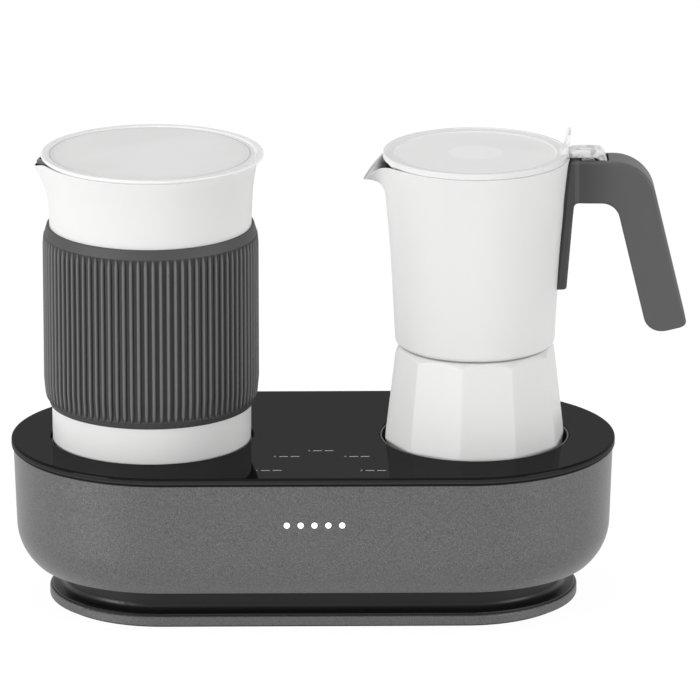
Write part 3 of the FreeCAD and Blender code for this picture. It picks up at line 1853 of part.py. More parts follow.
def hinge_slot():
    """Room in the handle for the knuckle and for the arm's end as it swings down."""
    width = knuckle_width + 2 * knuckle_gap
    start = V(hinge_x, -width / 2, hinge_z)
    sweep = Part.makeCylinder(slot_radius, width, start, V(0, 1, 0))
    far = 2 * slot_radius
    keep = block(hinge_x - slot_lead, hinge_x + far, -width, width, hinge_z - far, hinge_z + far)
    sweep = sweep.common(keep)
    eye = Part.makeCylinder(knuckle_radius + knuckle_gap, width, start, V(0, 1, 0))
    left = hinge_x - knuckle_radius - knuckle_gap
    mouth = block(left, hinge_x + slot_radius, -width / 2, width / 2, hinge_z, handle_top + 5)
    return fused([sweep, eye, mouth])


def hinge_bore():
    """Hole for the hinge pin through both ears."""
    reach = hinge_pin_length / 2
    return rod_along(hinge_pin_radius + 0.02, V(hinge_x, -reach, hinge_z), V(0, 1, 0), 2 * reach)


def hinge_pin():
    """Steel pin of the lid's hinge."""
    reach = hinge_pin_length / 2 - fit_gap
    return rod_along(hinge_pin_radius, V(hinge_x, -reach, hinge_z), V(0, 1, 0), 2 * reach)


def handle_screw():
    """Screw through the foot of the strip into the chamber's lower lug."""
    z = chamber_z + lug_low
    seat = station_x + chamber_radius(z) + lug_reach + 1.0
    tip = station_x + chamber_radius(z) - chamber_wall / 2 + lift_gap
    shank = rod_along(handle_screw_radius, V(tip, 0, z), V(1, 0, 0), seat - tip)
    return shank


def handle_pin():
    """Cross pin through handle and upper lug."""
    z = chamber_z + lug_high
    x = station_x + chamber_radius(z) + lug_reach / 2 - 0.4
    reach = strip_width / 2 - 6 * fit_gap
    return rod_along(handle_pin_radius - 0.4, V(x, -reach, z), V(0, 1, 0), 2 * reach)


def pot_lid():
    """Clear lid with a frosted floor, a locating lip, a hinge arm and a leaning thumb tab."""
    low = chamber_top + lid_gap
    floor = low + lid_thickness
    top = floor + lid_rim
    edge = lid_radius - lid_rim_width
    lip = chamber_top_radius - chamber_wall - lid_lip_gap
    disc = turned([
        (0, low),
        (lip - lid_lip_wall, low),
        (lip - lid_lip_wall, low - lid_lip_depth),
        (lip, low - lid_lip_depth),
        (lip, low),
        (lid_radius, low, 0.5),
        (lid_radius, top, 1.0),
        (edge + 1.2, top, 0.9),
        (edge, floor, 0.6),
        (0, floor),
    ], station_x)
    rim_x = station_x + lid_radius
    arm = across([
        (rim_x - 3.0, arm_bottom + 0.2),
        (hinge_x - knuckle_radius, arm_bottom, 1.0),
        (hinge_x - knuckle_radius, hinge_z),
        (hinge_x, hinge_z - knuckle_radius, 4.1),
        (hinge_x + knuckle_radius, hinge_z),
        (hinge_x + knuckle_radius + 1.0, arm_bottom - 1.2, 2.0),
        (arm_end, arm_bottom - 1.0, 1.0),
        (arm_end, arm_top, 3.4),
        (rim_x + 3.0, arm_top, 3.0),
        (rim_x + 1.0, top - 0.6, 1.0),
        (rim_x - 3.0, top - 0.6),
    ], knuckle_width)
    knuckle = rod_along(knuckle_radius, V(hinge_x, -knuckle_width / 2, hinge_z), V(0, 1, 0), knuckle_width)
    foot = rim_x - 5.2
    tab = across([
        (foot, top - 0.8),
        (foot + tab_thickness + 0.8, top - 0.8),
        (foot + tab_thickness + 1.4, top + 3.0, 6),
        (foot + tab_lean + tab_thickness, top + tab_height, 0.8),
        (foot + tab_lean, top + tab_height + 0.4, 0.8),
        (foot + 0.6, top + 3.6, 6),
    ], tab_width)
    half = tab_width / 2
    arch = extruded([
        (-half, top - 1),
        (half, top - 1),
        (half, top + 3),
        (half - 2.5, top + tab_height + 1, 5),
        (-half + 2.5, top + tab_height + 1, 5),
        (-half, top + 3),
    ], yz, V(60, 0, 0), V(rim_x - 30, 0, 0))
    lid = fused([disc, arm, knuckle, tab.common(arch)])
    reach = knuckle_width
    bore = rod_along(hinge_pin_radius + 0.08, V(hinge_x, -reach, hinge_z), V(0, 1, 0), 2 * reach)
    return lid.cut(bore)


PIECES = [
    foot_mat, base_plate, plinth, base_screws, body_shell, deck_frame, deck_screws, top_glass,
    pot_well, pot_hot_plate, heating_element, heat_shield, plate_screws, thermostat,
    sensor_guide, pot_sensor, sensor_spring,
    jug_seat, jug_heater, drive_rotor, drive_magnets, motor_shaft, drive_motor, motor_bracket, motor_screws,
    control_board, board_screws, touch_board, light_pipe, light_board, mains_inlet, inlet_pins,
    milk_jug, jug_liner, whisk_pin, whisk_hub, hub_magnets, whisk_ring, jug_sleeve, jug_lid, lid_seal,
    boiler, safety_valve, valve_pin, funnel, pot_gasket, filter_plate, upper_chamber, coffee_column, column_cap,
    handle, handle_screw, handle_pin, hinge_pin, pot_lid,
]


def main():
    os.makedirs("parts", exist_ok=True)
    for piece in PIECES:
        shape = piece()
        shape.exportStep(os.path.join("parts", piece.__name__ + ".step"))
        state = "ok" if shape.isValid() else "NOT VALID"
        box = shape.BoundBox
        print(
            "%-16s %-9s solids %2d faces %4d volume %10.1f  z %.1f to %.1f"
            % (piece.__name__, state, len(shape.Solids), len(shape.Faces), shape.Volume, box.ZMin, box.ZMax)
        )


main()
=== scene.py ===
"""Looks of an electric moka pot with a milk jug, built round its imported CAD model."""
import math

import bpy
import numpy as np
from bpy.props import FloatProperty, FloatVectorProperty, IntProperty, PointerProperty
from mathutils import Matrix, Vector


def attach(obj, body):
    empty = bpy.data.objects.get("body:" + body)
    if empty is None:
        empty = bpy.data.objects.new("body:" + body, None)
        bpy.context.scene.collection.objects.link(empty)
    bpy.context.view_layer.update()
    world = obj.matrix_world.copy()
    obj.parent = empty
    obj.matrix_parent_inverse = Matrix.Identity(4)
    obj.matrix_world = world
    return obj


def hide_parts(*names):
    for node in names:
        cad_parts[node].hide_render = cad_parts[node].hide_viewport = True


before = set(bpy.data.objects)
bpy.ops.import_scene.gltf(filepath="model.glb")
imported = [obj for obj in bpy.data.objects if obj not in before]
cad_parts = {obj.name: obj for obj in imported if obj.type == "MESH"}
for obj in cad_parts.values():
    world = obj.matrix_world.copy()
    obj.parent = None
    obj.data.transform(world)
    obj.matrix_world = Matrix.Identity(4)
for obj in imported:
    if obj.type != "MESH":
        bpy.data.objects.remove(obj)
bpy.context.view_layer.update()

bl_info = {
    "name": "Electric moka pot",
    "version": (1, 0, 0),
    "blender": (4, 5, 0),
    "location": "View3D > Sidebar > Moka pot",
    "description": "Materials, fine surfaces, light and camera for an electric moka pot with a milk jug",
    "category": "Object",
}

# Sections below are in millimetres, as the model was drawn; meshes are in metres
MM = 0.001

# Upright axes of the two stations
JUG_X = -82.8
POT_X = 82.8

# Heights of the stack, from the worktop up
DECK_TOP = 85.8
POT_Z = 78.0
BOILER_TOP = 134.3
NECK_TOP = 142.0
BEAK_LOW = 209.0
POT_RIM = 233.0
JUG_RIM = 233.6

# Outer radius of the upper chamber at three heights
CHAMBER_HEIGHTS = (135.3, 187.0, POT_RIM)
CHAMBER_RADII = (40.7, 43.3, 47.9)

# Pin of the pot's lid, across and up
HINGE = np.array([140.0, 229.5])

# Angle of one corner between the boiler's flats, and of its safety valve, in degrees
FACET_START = -100.3
VALVE_ANGLE = 97.7

# Where the camera and the lamps look, and where the camera stands: angles in degrees, lengths in metres
LAMP_AIM = Vector((0.0, 0.0, 0.12))
CAMERA_AIM = Vector((0.018896, 0.0, 0.130626))
CAMERA_TURN = -0.72
CAMERA_LIFT = 16.375
CAMERA_AWAY = 3.9

# Lamps: name, place, width, height and power, in metres and watts
LAMPS = (
    ("key", (-2.6, -1.8, 0.56), 1.6, 1.2, 65.0),
    ("side", (2.8, -1.5, 0.56), 1.6, 1.2, 41.0),
    ("top", (-0.2, 0.0, 2.4), 2.0, 2.0, 16.0),
)

# Height of the print's top or middle over the glass
PRINT = 0.02

# Marks on the deck: digit, across and back
DECK_MARKS = (
    ("1", -23.4, -63.1),
    ("2", -14.2, -39.3),
    ("3", 3.2, -29.5),
    ("4", 21.5, -39.7),
    ("5", 29.5, -63.8),
)


def arithmetic(operation):
    """An operator and its reflected form, which add one Math node for a field and another value."""
    return (
        lambda field, other: field.graph.math(operation, field, other),
        lambda field, other: field.graph.math(operation, other, field),
    )


class Field:
    """A value that varies over a surface. Arithmetic on it adds nodes to its graph."""

    __add__, __radd__ = arithmetic("ADD")
    __sub__, __rsub__ = arithmetic("SUBTRACT")
    __mul__, __rmul__ = arithmetic("MULTIPLY")
    __truediv__, __rtruediv__ = arithmetic("DIVIDE")
    __pow__, __rpow__ = arithmetic("POWER")

    def __init__(self, graph, socket):
        self.graph = graph
        self.socket = socket

    def step(self, low, high):
        """Rises smoothly from 0 at low to 1 at high."""
        values = {"Value": self, "From Min": low, "From Max": high}
        return self.graph.node("MapRange", values, interpolation_type="SMOOTHSTEP")

    def band(self, low, high, edge):
        """1 between low and high, falling to 0 over an edge on each side."""
        return self.step(low - edge, low) * (1.0 - self.step(high, high + edge))

    def blend(self, first, second):
        """Colour that goes from first to second as the value goes from 0 to 1."""
        ends = [item if isinstance(item, Field) else (*item, 1.0) for item in (first, second)]
        return self.graph.node("Mix", {0: self, 6: ends[0], 7: ends[1]}, output=2, data_type="RGBA")


class Graph:
    """The nodes of a material or of the world."""

    def __init__(self, tree):
        self.tree = tree

    def feed(self, socket, value):
        """Links a field into a socket, or sets a plain value on it."""
        if isinstance(value, Field):
            self.tree.links.new(value.socket, socket)
        else:
            socket.default_value = value

    def node(self, kind, values=None, output=0, **settings):
        """Adds a node of any kind and gives one of its outputs as a field."""
        made = self.tree.nodes.new("ShaderNode" + kind)
        for key, value in settings.items():
            setattr(made, key, value)
        for key, value in (values or {}).items():
            self.feed(made.inputs[key], value)
        return Field(self, made.outputs[output])

    def math(self, operation, first, second):
        """One Math node on two numbers or fields."""
        return self.node("Math", {0: first, 1: second}, operation=operation)

    def seen(self):
        """1 for rays from the camera, off a reflection or through glass, and 0 for all others."""
        kinds = ("Is Camera Ray", "Is Glossy Ray", "Is Transmission Ray")
        camera, mirrored, through = [self.node("LightPath", output=kind) for kind in kinds]
        return camera + mirrored + through


class Paint(Graph):
    """One procedural material: a Principled shader and what varies its sockets."""

    def __init__(self, name, colour, **constants):
        self.material = bpy.data.materials.new(name)
        self.material.use_nodes = True
        super().__init__(self.material.node_tree)
        self.tree.nodes.clear()
        self.shader = self.tree.nodes.new("ShaderNodeBsdfPrincipled")
        self.end = self.tree.nodes.new("ShaderNodeOutputMaterial")
        self.tree.links.new(self.shader.outputs[0], self.end.inputs[0])
        self.vary(Base_Color=(*colour, 1.0), **constants)
        self.place = self.node("TexCoord", output="Object")

    def vary(self, **sockets):
        """Feeds fields or plain values into the shader's sockets."""
        for key, value in sockets.items():
            self.feed(self.shader.inputs[key.replace("_", " ")], value)
        return self

    def bump(self, height, distance, strength):
        """Relief of a height in 0 to 1 and a depth in metres."""
        values = {"Height": height, "Distance": distance, "Strength": strength}
        return self.vary(Normal=self.node("Bump", values))

    def noise(self, scale, detail=2.0, rough=0.5, place=None):
        """Noise of about 0 to 1 with a scale in features per metre."""
        values = {"Vector": place or self.place, "Scale": scale, "Detail": detail, "Roughness": rough}
        return self.node("TexNoise", values, output="Fac")

    def marks(self, base, spread, scale=60.0):
        """Roughness with faint handling marks."""
        return base + spread * (self.noise(scale, 4.0, 0.6) - 0.5)

    def cells(self, scale):
        """Distance from the middles of Voronoi cells with a scale in cells per metre."""
        return self.node("TexVoronoi", {"Vector": self.place, "Scale": scale}, output="Distance")

    def axis(self, name):
        """One coordinate of the surface's place, in metres."""
        return self.node("SeparateXYZ", {0: self.place}, output=name)

    def radius(self, x):
        """Distance from an upright axis at x, in millimetres."""
        across = self.axis("X") - x * MM
        return (across * across + self.axis("Y") * self.axis("Y")) ** 0.5 / MM

    def share(self):
        """The value that a made surface carries at each of its points."""
        return self.node("Attribute", output="Fac", attribute_name="share")


def grey(level):
    """Colour with the same level of red, green and blue."""
    return (level, level, level)


def shade(colour, factor):
    """A colour made darker or lighter by a factor."""
    return tuple(min(1.0, level * factor) for level in colour)


def metallic_paint(name, colour, fleck, rough):
    """Satin paint with fine metal flecks, a little darker and lighter from grain to grain."""
    paint = Paint(name, colour, Metallic=0.45)
    grain = paint.noise(1250.0, 2.0, 0.7)
    tone = grain + (paint.noise(450.0, 2.0, 0.6) - 0.5) * 0.12
    flakes = 1.0 - paint.cells(1500.0).step(0.06, 0.30)
    base = tone.step(0.1, 0.9).blend(shade(colour, 0.62), shade(colour, 1.45))
    base = (flakes * fleck).blend(base, grey(0.5))
    return paint.vary(Base_Color=base, Roughness=rough + 0.2 * (grain - 0.5)).bump(grain, 0.00003, 0.5)


def enamel(name, colour, rough, lining=None, metallic=0.0, lining_rough=0.0):
    """Satin sprayed enamel with a faint orange peel.

    A vessel's inside, where the share that its surface carries is 1, may have a lining with a colour, a
    metallic share and a roughness of its own.
    """
    paint = Paint(name, colour, Specular_IOR_Level=0.35)
    base = paint.noise(14.0).step(0.3, 0.7).blend(colour, shade(colour, 0.97))
    if lining:
        inside = paint.share().step(0.3, 0.7)
        base = inside.blend(base, lining)
        grain = rough + inside * (lining_rough - rough) + 0.06 * (paint.noise(700.0) - 0.5)
        paint.vary(Metallic=inside * metallic)
    else:
        grain = paint.marks(rough, 0.06)
    return paint.vary(Base_Color=base, Roughness=grain).bump(paint.noise(900.0), 0.00002, 0.35)


def eroded(paint, rough, scale=1500.0, depth=0.00003):
    """Gives a material the spark-eroded grain of a mould, in relief and roughness, and returns the grain."""
    fine = paint.noise(scale, 2.0, 0.6)
    paint.vary(Roughness=rough + 0.12 * (fine - 0.5)).bump(fine, depth, 0.6)
    return fine


def moulded(name, colour, rough, scale=1500.0, depth=0.00003):
    """Moulded plastic or rubber, faintly cloudy."""
    paint = Paint(name, colour)
    eroded(paint, rough, scale, depth)
    cloud = paint.noise(25.0, 3.0, 0.5).step(0.3, 0.7)
    return paint.vary(Base_Color=cloud.blend(colour, shade(colour, 1.12)))


def handle_plastic(name, colour, rough):
    """Moulded plastic with painted shade in the corner by the strip and in the seam against the chamber's
    wall.
    """
    paint = Paint(name, colour)
    fine = eroded(paint, rough)
    out = paint.axis("X") / MM
    slope = (paint.axis("Z") / MM - CHAMBER_HEIGHTS[1]) * 0.1
    # Painted shade in the seam where the handle meets the chamber's wall
    seam_shade = (paint.radius(POT_X) - slope - CHAMBER_RADII[1]).step(1.2, 2.2)
    # Painted shade: the arm grows darker towards the corner by the strip
    arm = (out + fine).step(134.0, 160.0).blend(shade(colour, 0.62), shade(colour, 1.06))
    # Painted highlight on a narrow band beside the strip, where a lit face would be
    strip = out.band(133.2, 135.0, 0.4).blend(arm, shade(colour, 1.1))
    return paint.vary(Base_Color=seam_shade.blend(shade(colour, 0.1), strip))


def ribbed(name, colour, rough):
    """Silicone: paler ribs as a painted highlight, darker plain bands, and painted shade down in its grooves.
    """
    paint = Paint(name, colour)
    place = paint.share() + 0.06 * (eroded(paint, rough) - 0.5)
    # Painted shade down in the grooves; the plain bands are darker than the colour
    groove_shade = place.step(0.05, 0.5).blend(shade(colour, 0.3), shade(colour, 0.62))
    # Painted highlight on the ribs
    return paint.vary(Base_Color=place.step(0.45, 0.95).blend(groove_shade, shade(colour, 1.75)))


def metal(name, colour, rough):
    """Drawn metal with fine level lines."""
    paint = Paint(name, colour, Metallic=1.0)
    place = paint.node("VectorMath", {0: paint.place, 1: (60.0, 60.0, 1400.0)}, operation="MULTIPLY")
    lines = paint.noise(1.0, 3.0, 0.6, place)
    base = lines.step(0.35, 0.65).blend(shade(colour, 0.85), colour)
    return paint.vary(Base_Color=base, Roughness=rough + 0.16 * (lines - 0.5)).bump(lines, 0.00001, 0.4)


def turned_metal(name, colour, rough, x):
    """Metal turned on a lathe: fine rings round the station's axis, about two to a millimetre."""
    paint = Paint(name, colour, Metallic=1.0)
    rings = paint.noise(2.0, 1.0, 0.5, paint.node("CombineXYZ", {0: paint.radius(x)}))
    base = rings.step(0.3, 0.7).blend(shade(colour, 0.8), colour)
    return paint.vary(Base_Color=base, Roughness=rough + 0.14 * (rings - 0.5)).bump(rings, 0.00003, 0.5)


def glossy(name, colour, rough):
    """Polished plastic with the faintest handling marks."""
    paint = Paint(name, colour, Specular_IOR_Level=0.28)
    wave = paint.noise(120.0, 1.0, 0.4)
    return paint.vary(Roughness=paint.marks(rough, 0.05, 40.0)).bump(wave, 0.00002, 0.15)


def deck_glass(name, colour):
    """Black glass: a clear coat that reflects weakly, a trace of dust and a painted reflection in pale bands
    on its edge.
    """
    paint = Paint(name, colour, Specular_IOR_Level=0.0, Roughness=1.0, Coat_Weight=0.16, Coat_Roughness=0.05)
    dust = paint.noise(900.0, 4.0, 0.7).step(0.62, 0.8)
    up = paint.axis("Z") / MM
    # Painted reflection: two paler bands along the glass's edge
    edge_reflection = up.band(83.3, 84.6, 0.4) * 0.45 + up.band(82.75, 83.2, 0.25) * 0.55
    dusty = (dust * 0.3).blend(colour, grey(0.03))
    return paint.vary(Base_Color=edge_reflection.blend(dusty, grey(0.05)))


def circuit_board(name):
    """Green solder mask with paler copper tracks under it."""
    paint = Paint(name, (0.02, 0.12, 0.05), Specular_IOR_Level=0.5)
    track = paint.cells(260.0).step(0.28, 0.34)
    base = track.blend((0.03, 0.18, 0.07), (0.015, 0.09, 0.04))
    return paint.vary(Base_Color=base, Roughness=paint.marks(0.35, 0.1, 200.0)).bump(track, 0.00003, 0.4)


def frosted_lid(name, colour):
    """Jug lid: frosted floor, thicker clearer rim ring, and painted shade rings where the plug ring shows
    through.
    """
    paint = Paint(name, colour, Specular_IOR_Level=0.5)
    out = paint.radius(JUG_X)
    ring = out.step(52.4, 53.4)
    # Painted shade: two darker rings where the plug ring shows through the floor
    outer_shade_ring = out.step(50.3, 50.7) - out.step(51.2, 51.8)
    inner_shade_ring = out.step(48.6, 49.0) - out.step(49.2, 49.6)
    soft = paint.noise(18.0)
    floor = soft.step(0.35, 0.65).blend(shade(colour, 0.95), colour)
    floor = (outer_shade_ring + inner_shade_ring * 0.3).blend(floor, shade(colour, 0.68))
    return paint.vary(
        Base_Color=ring.blend(floor, grey(1.0)),
        Roughness=0.45 - 0.33 * ring + 0.05 * (soft - 0.5),
        Alpha=0.93 - 0.1 * ring,
    ).bump(paint.noise(1300.0, 2.0, 0.6), 0.00002, 0.3)


def clear_lid(name, colour):
    """Pot lid: a frosted floor with a paler disc in a clear rim, and painted reflections streaking its clear
    arm and tab.
    """
    paint = Paint(name, colour, Specular_IOR_Level=0.6)
    out = paint.radius(POT_X)
    clear = out.step(41.2, 41.8)
    disc = 1.0 - out.step(13.0, 14.6)
    arm = paint.math("MAXIMUM", out.step(47.3, 47.8), (paint.axis("Z") / MM).step(236.8, 237.2))
    # Painted reflection: dark streaks that stand in for what the clear arm and tab mirror
    reflection_streak = arm * (1.0 - paint.noise(300.0, 1.0, 0.5).step(0.34, 0.52))
    floor = disc.blend(colour, shade(colour, 1.06))
    rim = reflection_streak.blend(grey(0.95), grey(0.55))
    grain = paint.noise(1300.0, 2.0, 0.6)
    return paint.vary(
        Base_Color=clear.blend(floor, rim),
        Roughness=0.5 - 0.45 * clear + 0.04 * (grain - 0.5),
        Alpha=0.95 - 0.15 * clear - 0.1 * arm,
    ).bump(grain, 0.00002, 0.25)


def printed(name, colour):
    """Screen-printed marks, slightly uneven, with a faint painted glow."""
    # Painted glow: the ink gives off a little light of its own colour
    paint = Paint(name, colour, Specular_IOR_Level=0.2, Emission_Strength=0.25)
    ink = paint.noise(2500.0, 2.0, 0.6).step(0.3, 0.7).blend(shade(colour, 0.8), colour)
    return paint.vary(Base_Color=ink, Emission_Color=ink, Roughness=paint.marks(0.6, 0.1, 2000.0))


def lit(name, colour, strength):
    """Milky clear plastic lit from behind, brightest away from its grain."""
    paint = Paint(name, colour, Emission_Strength=strength)
    glow = paint.noise(700.0).step(0.3, 0.7).blend(shade(colour, 0.94), colour)
    return paint.vary(Emission_Color=glow, Roughness=paint.marks(0.35, 0.08, 300.0))


def coat(objects, paint):
    """Gives pieces or CAD nodes one material."""
    for item in objects:
        mesh = (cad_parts[item] if isinstance(item, str) else item).data
        mesh.materials.clear()
        mesh.materials.append(paint.material)


def stand_in(pieces, node, body, paint):
    """Puts pieces in the place of a CAD node: all get one material, the pieces ride a body and the node is
    hidden.
    """
    coat([*pieces, node], paint)
    for made in pieces:
        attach(made, body)
        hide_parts(node)


def unit(vectors):
    """Vectors scaled to a length of one; a zero vector stays zero."""
    length = np.linalg.norm(vectors, axis=-1, keepdims=True)
    return vectors / np.where(length > 1e-12, length, 1.0)


def rounded(corners, steps=8):
    """Section through corners (across, up, radius) with each corner turned into an arc.

    An arc is the circle that touches both sides of its corner. Its points are the start and end of the arc,
    seen from the circle's centre, mixed with the weights sin((1 - t) turn) and sin(t turn) over sin(turn).
    """
    table = np.array([(*corner, 0.0)[:3] for corner in corners], float)
    spots = table[:, :2]
    radius = table[:, 2]
    back = unit(np.roll(spots, 1, 0) - spots)
    forth = unit(np.roll(spots, -1, 0) - spots)
    half = np.arccos(np.clip((back * forth).sum(1), -1.0, 1.0)) / 2
    half = np.where(radius > 0, half, np.pi / 4)
    reach = (radius / np.tan(half))[:, None]
    centre = spots + unit(back + forth) * (radius / np.sin(half))[:, None]
    first = spots + back * reach - centre
    last = spots + forth * reach - centre
    turn = (np.pi - 2 * half)[:, None, None]
    share = np.linspace(0.0, 1.0, steps + 1)[None, :, None]
    weights = np.sin((1 - share) * turn) * first[:, None] + np.sin(share * turn) * last[:, None]
    line = (centre[:, None] + weights / np.sin(turn)).reshape(-1, 2)
    keep = np.r_[True, np.linalg.norm(np.diff(line, axis=0), axis=1) > 1e-6]
    return line[keep]


def at_heights(section, heights):
    """Points of a section at heights, straight between its own points."""
    return np.column_stack([np.interp(heights, section[:, 1], section[:, 0]), heights])


def at_places(line, places):
    """Points of a line at distances along it, which a function works out from those of its corners."""
    run = np.r_[0.0, np.cumsum(np.linalg.norm(np.diff(line, axis=0), axis=1))]
    spots = places(run)
    return np.column_stack([np.interp(spots, run, line[:, k]) for k in (0, 1)])


def spaced(line, step):
    """Adds points along a section so that neighbours are no further apart than a step."""
    def places(run):
        both = np.sort(np.r_[run, np.arange(step / 2, run[-1], step)])
        return both[np.r_[True, np.diff(both) > 1e-4]]

    return at_places(line, places)


def skin(name, grid, loop=False, sharp=35.0, share=None):
    """Closed mesh over a grid of points (row, column, xyz) in millimetres; columns go round.

    Each cell between two rows and two columns is a face. With loop the last row joins the first; without it
    the first and the last row have each shrunk to one point. Faces are turned outward by the sign of the
    enclosed volume, a sixth of the sum of every triangle's three corners' triple product. Edges sharper than
    an angle are kept sharp. A share, if given, is a value for each point that the surface's material reads.
    """
    rows, columns = grid.shape[:2]
    points = grid.reshape(-1, 3) * MM
    index = np.arange(rows * columns).reshape(rows, columns)
    index = np.hstack([index, index[:, :1]])
    if loop:
        body = np.vstack([index, index[:1]])
        triangles = np.empty((0, 3), int)
    else:
        body = index[1:-1]
        fans = ((0, index[1, 1:], index[1, :-1]), (-1, index[-2, :-1], index[-2, 1:]))
        triangles = np.vstack([np.stack([np.full(columns, index[tip, 0]), *edge], -1) for tip, *edge in fans])
    quads = np.stack([body[:-1, :-1], body[:-1, 1:], body[1:, 1:], body[1:, :-1]], -1).reshape(-1, 4)
    corner = points[np.vstack([quads[:, [0, 1, 2]], quads[:, [0, 2, 3]], triangles])]
    volume = np.einsum("ij,ij->i", corner[:, 0], np.cross(corner[:, 1], corner[:, 2])).sum() / 6
    if volume < 0:
        quads = quads[:, ::-1]
        triangles = triangles[:, ::-1]
    used, fresh = np.unique(np.r_[quads.ravel(), triangles.ravel()], return_inverse=True)
    quads = fresh[:quads.size].reshape(-1, 4)
    triangles = fresh[quads.size:].reshape(-1, 3)
    mesh = bpy.data.meshes.new(name)
    mesh.from_pydata(points[used].tolist(), [], quads.tolist() + triangles.tolist())
    mesh.shade_smooth()
    mesh.set_sharp_from_angle(angle=math.radians(sharp))
    if share is not None:
        values = np.broadcast_to(share, (rows, columns)).ravel()[used]
        mesh.attributes.new("share", "FLOAT", "POINT").data.foreach_set("value", values)
    return placed(name, mesh)


def placed(name, data):
    """New object with a mesh, a lamp or a camera, linked into the scene."""
    made = bpy.data.objects.new(name, data)
    bpy.context.scene.collection.objects.link(made)
    return made


def aimed(name, data, place, along):
    """Lamp or camera at a place, looking along a direction."""
    made = placed(name, data)
    made.location = place
    made.rotation_mode = "QUATERNION"
    made.rotation_quaternion = along.to_track_quat("-Z", "Y")
    return made


def around(radius, height, angles, x):
    """Grid of points at a radius and height for each row and column, round an upright axis at x."""
    radius = np.broadcast_to(radius, np.broadcast_shapes(np.shape(radius), np.shape(height), angles.shape))
    across = x + radius * np.cos(angles)
    back = radius * np.sin(angles)
    return np.stack([across, back, np.broadcast_to(height, across.shape)], -1)


def turns(count, offsets):
    """Angles for a form that repeats count times: offsets in shares of one repeat."""
    pitch = 2 * np.pi / count
    return ((np.arange(count)[:, None] + np.asarray(offsets)[None, :]) * pitch).ravel()


def sleeve_surface(sizes):
    """Ribbed sleeve.

    The outside is a rounded section turned about the jug's axis. It is the crest of the ribs; a plain band
    above and below them lies a little lower and the grooves between them lie lower still. Across a rib the
    height is 1 - (distance / half width) squared. Width and height shrink together towards each end as a
    quarter circle, so that a rib ends in a round tip. The share is 1 on a rib, 0.5 on the bands and 0 in a
    groove.
    """
    bottom, top, inner_low, inner_top, wide = 104.2, 198.5, 51.15, 51.62, 55.1
    outside = rounded([
        (inner_low, bottom),
        (inner_low + 0.88, bottom, 0.4),
        (wide - 0.8, bottom + 5.0, 7.0),
        (wide, bottom + 13.5, 12.0),
        (wide, top - 10.0, 12.0),
        (wide - 0.6, top - 4.0, 5.0),
        (inner_top + 1.3, top, 0.5),
        (inner_top, top),
    ], 6)
    low, high, taper, half_rib, band = 107.5, 193.6, 5.0, 1.25, 0.35
    ends = np.array([0.0, 0.1, 0.3, 0.65, 1.2, 2.0, 3.2, taper])
    heights = np.r_[outside[:, 1], low + ends, high - ends, np.linspace(low + 8, high - 8, 9)]
    wall_low, wall_top = bottom + 0.5, top - 0.6
    order = np.unique(np.round(heights[(heights > wall_low) & (heights < wall_top)], 2))
    foot, head = outside[outside[:, 1] <= wall_low], outside[outside[:, 1] >= wall_top]
    section = np.vstack([foot, at_heights(outside, order), head])
    pitch = 2 * np.pi / sizes.rib_count
    apart = wide * pitch
    spots = np.array([0.3, 0.55, 0.8, 0.95, 1.08, 1.3, 1.6]) / apart
    angles = turns(sizes.rib_count, np.r_[0.0, spots, 1.0 - spots[::-1]])
    away = apart * (0.5 - np.abs((angles / pitch) % 1.0 - 0.5))
    share = np.clip(np.minimum(section[:, 1] - low, high - section[:, 1]) / taper, 0.0, 1.0)
    size = np.sqrt(share * (2.0 - share))[:, None]
    rib = np.clip(1.0 - ((away + 1e-4) / np.maximum(half_rib * size, 1e-6)) ** 2, 0.0, 1.0)
    inset = np.clip(np.minimum(section[:, 1:] - bottom, top - section[:, 1:]) / 3.0, 0.0, 1.0)
    deep = band + (sizes.groove_depth / MM - band) * size
    outer = around(section[:, :1] - inset * deep * (1.0 - rib), section[:, 1:], angles, JUG_X)
    # The share sets where the sleeve's material paints a highlight on the ribs and shade in the grooves
    tone = 0.5 + 0.5 * size * (2.0 * rib - 1.0)
    share = np.linspace(0.0, 1.0, 4)[1:-1, None]
    lining = around(inner_top + share * (inner_low - inner_top), top + share * (bottom - top), angles, JUG_X)
    painted_light_share = np.vstack([tone, np.full((len(lining), len(angles)), 0.5)])
    return skin("ribbed_sleeve", np.concatenate([outer, lining]), loop=True, sharp=60.0, share=painted_light_share)


def beak_angles():
    """Angles for a vessel with a beak along -X: close together at the beak and wider apart behind it."""
    near = np.linspace(0.0, 1.0, 61)[:-1] ** 1.4 * 54.0
    half = np.radians(np.r_[near, np.linspace(54.0, 180.0, 43)])
    return np.pi + np.r_[-half[:0:-1], half[:-1]]


def beak_share(angles, width, power):
    """How much of a beak lies at each angle: 1 at its middle, falling on both sides.

    The share is one plus the square of the distance in widths, to a negative power, and is brought smoothly
    to nothing between 30 and 50 degrees from the middle.
    """
    away = np.degrees(np.abs(np.angle(np.exp(1j * (angles - np.pi)))))
    fade = np.clip((50.0 - away) / 20.0, 0.0, 1.0)
    return (1.0 + (away / width) ** 2) ** -power * fade * fade * (3.0 - 2.0 * fade)


def drawn(section, low, rim, swell, crown):
    """Radius and height of a wall's section at each angle, drawn into a beak above a height.

    The heights above low are pressed together so that the wall ends at the rim's own height, and the radius
    at each height grows by the swell, a function of the share of the way from low to the rim. The last rows
    sink by that share to the power of 8 times the crown, which leaves room for the rounded rim.
    """
    out, up = section[:, :1], section[:, 1:]
    height = np.where(up > low, low + (up - low) * (rim - low) / (up.max() - low), up)
    upper = section[up[:, 0] >= low]
    base = np.where(up > low, np.interp(height, upper[:, 1], upper[:, 0]), out)
    share = np.clip((height - low) / (rim - low), 0.0, 1.0)
    return base + swell(share), height - share ** 8 * crown


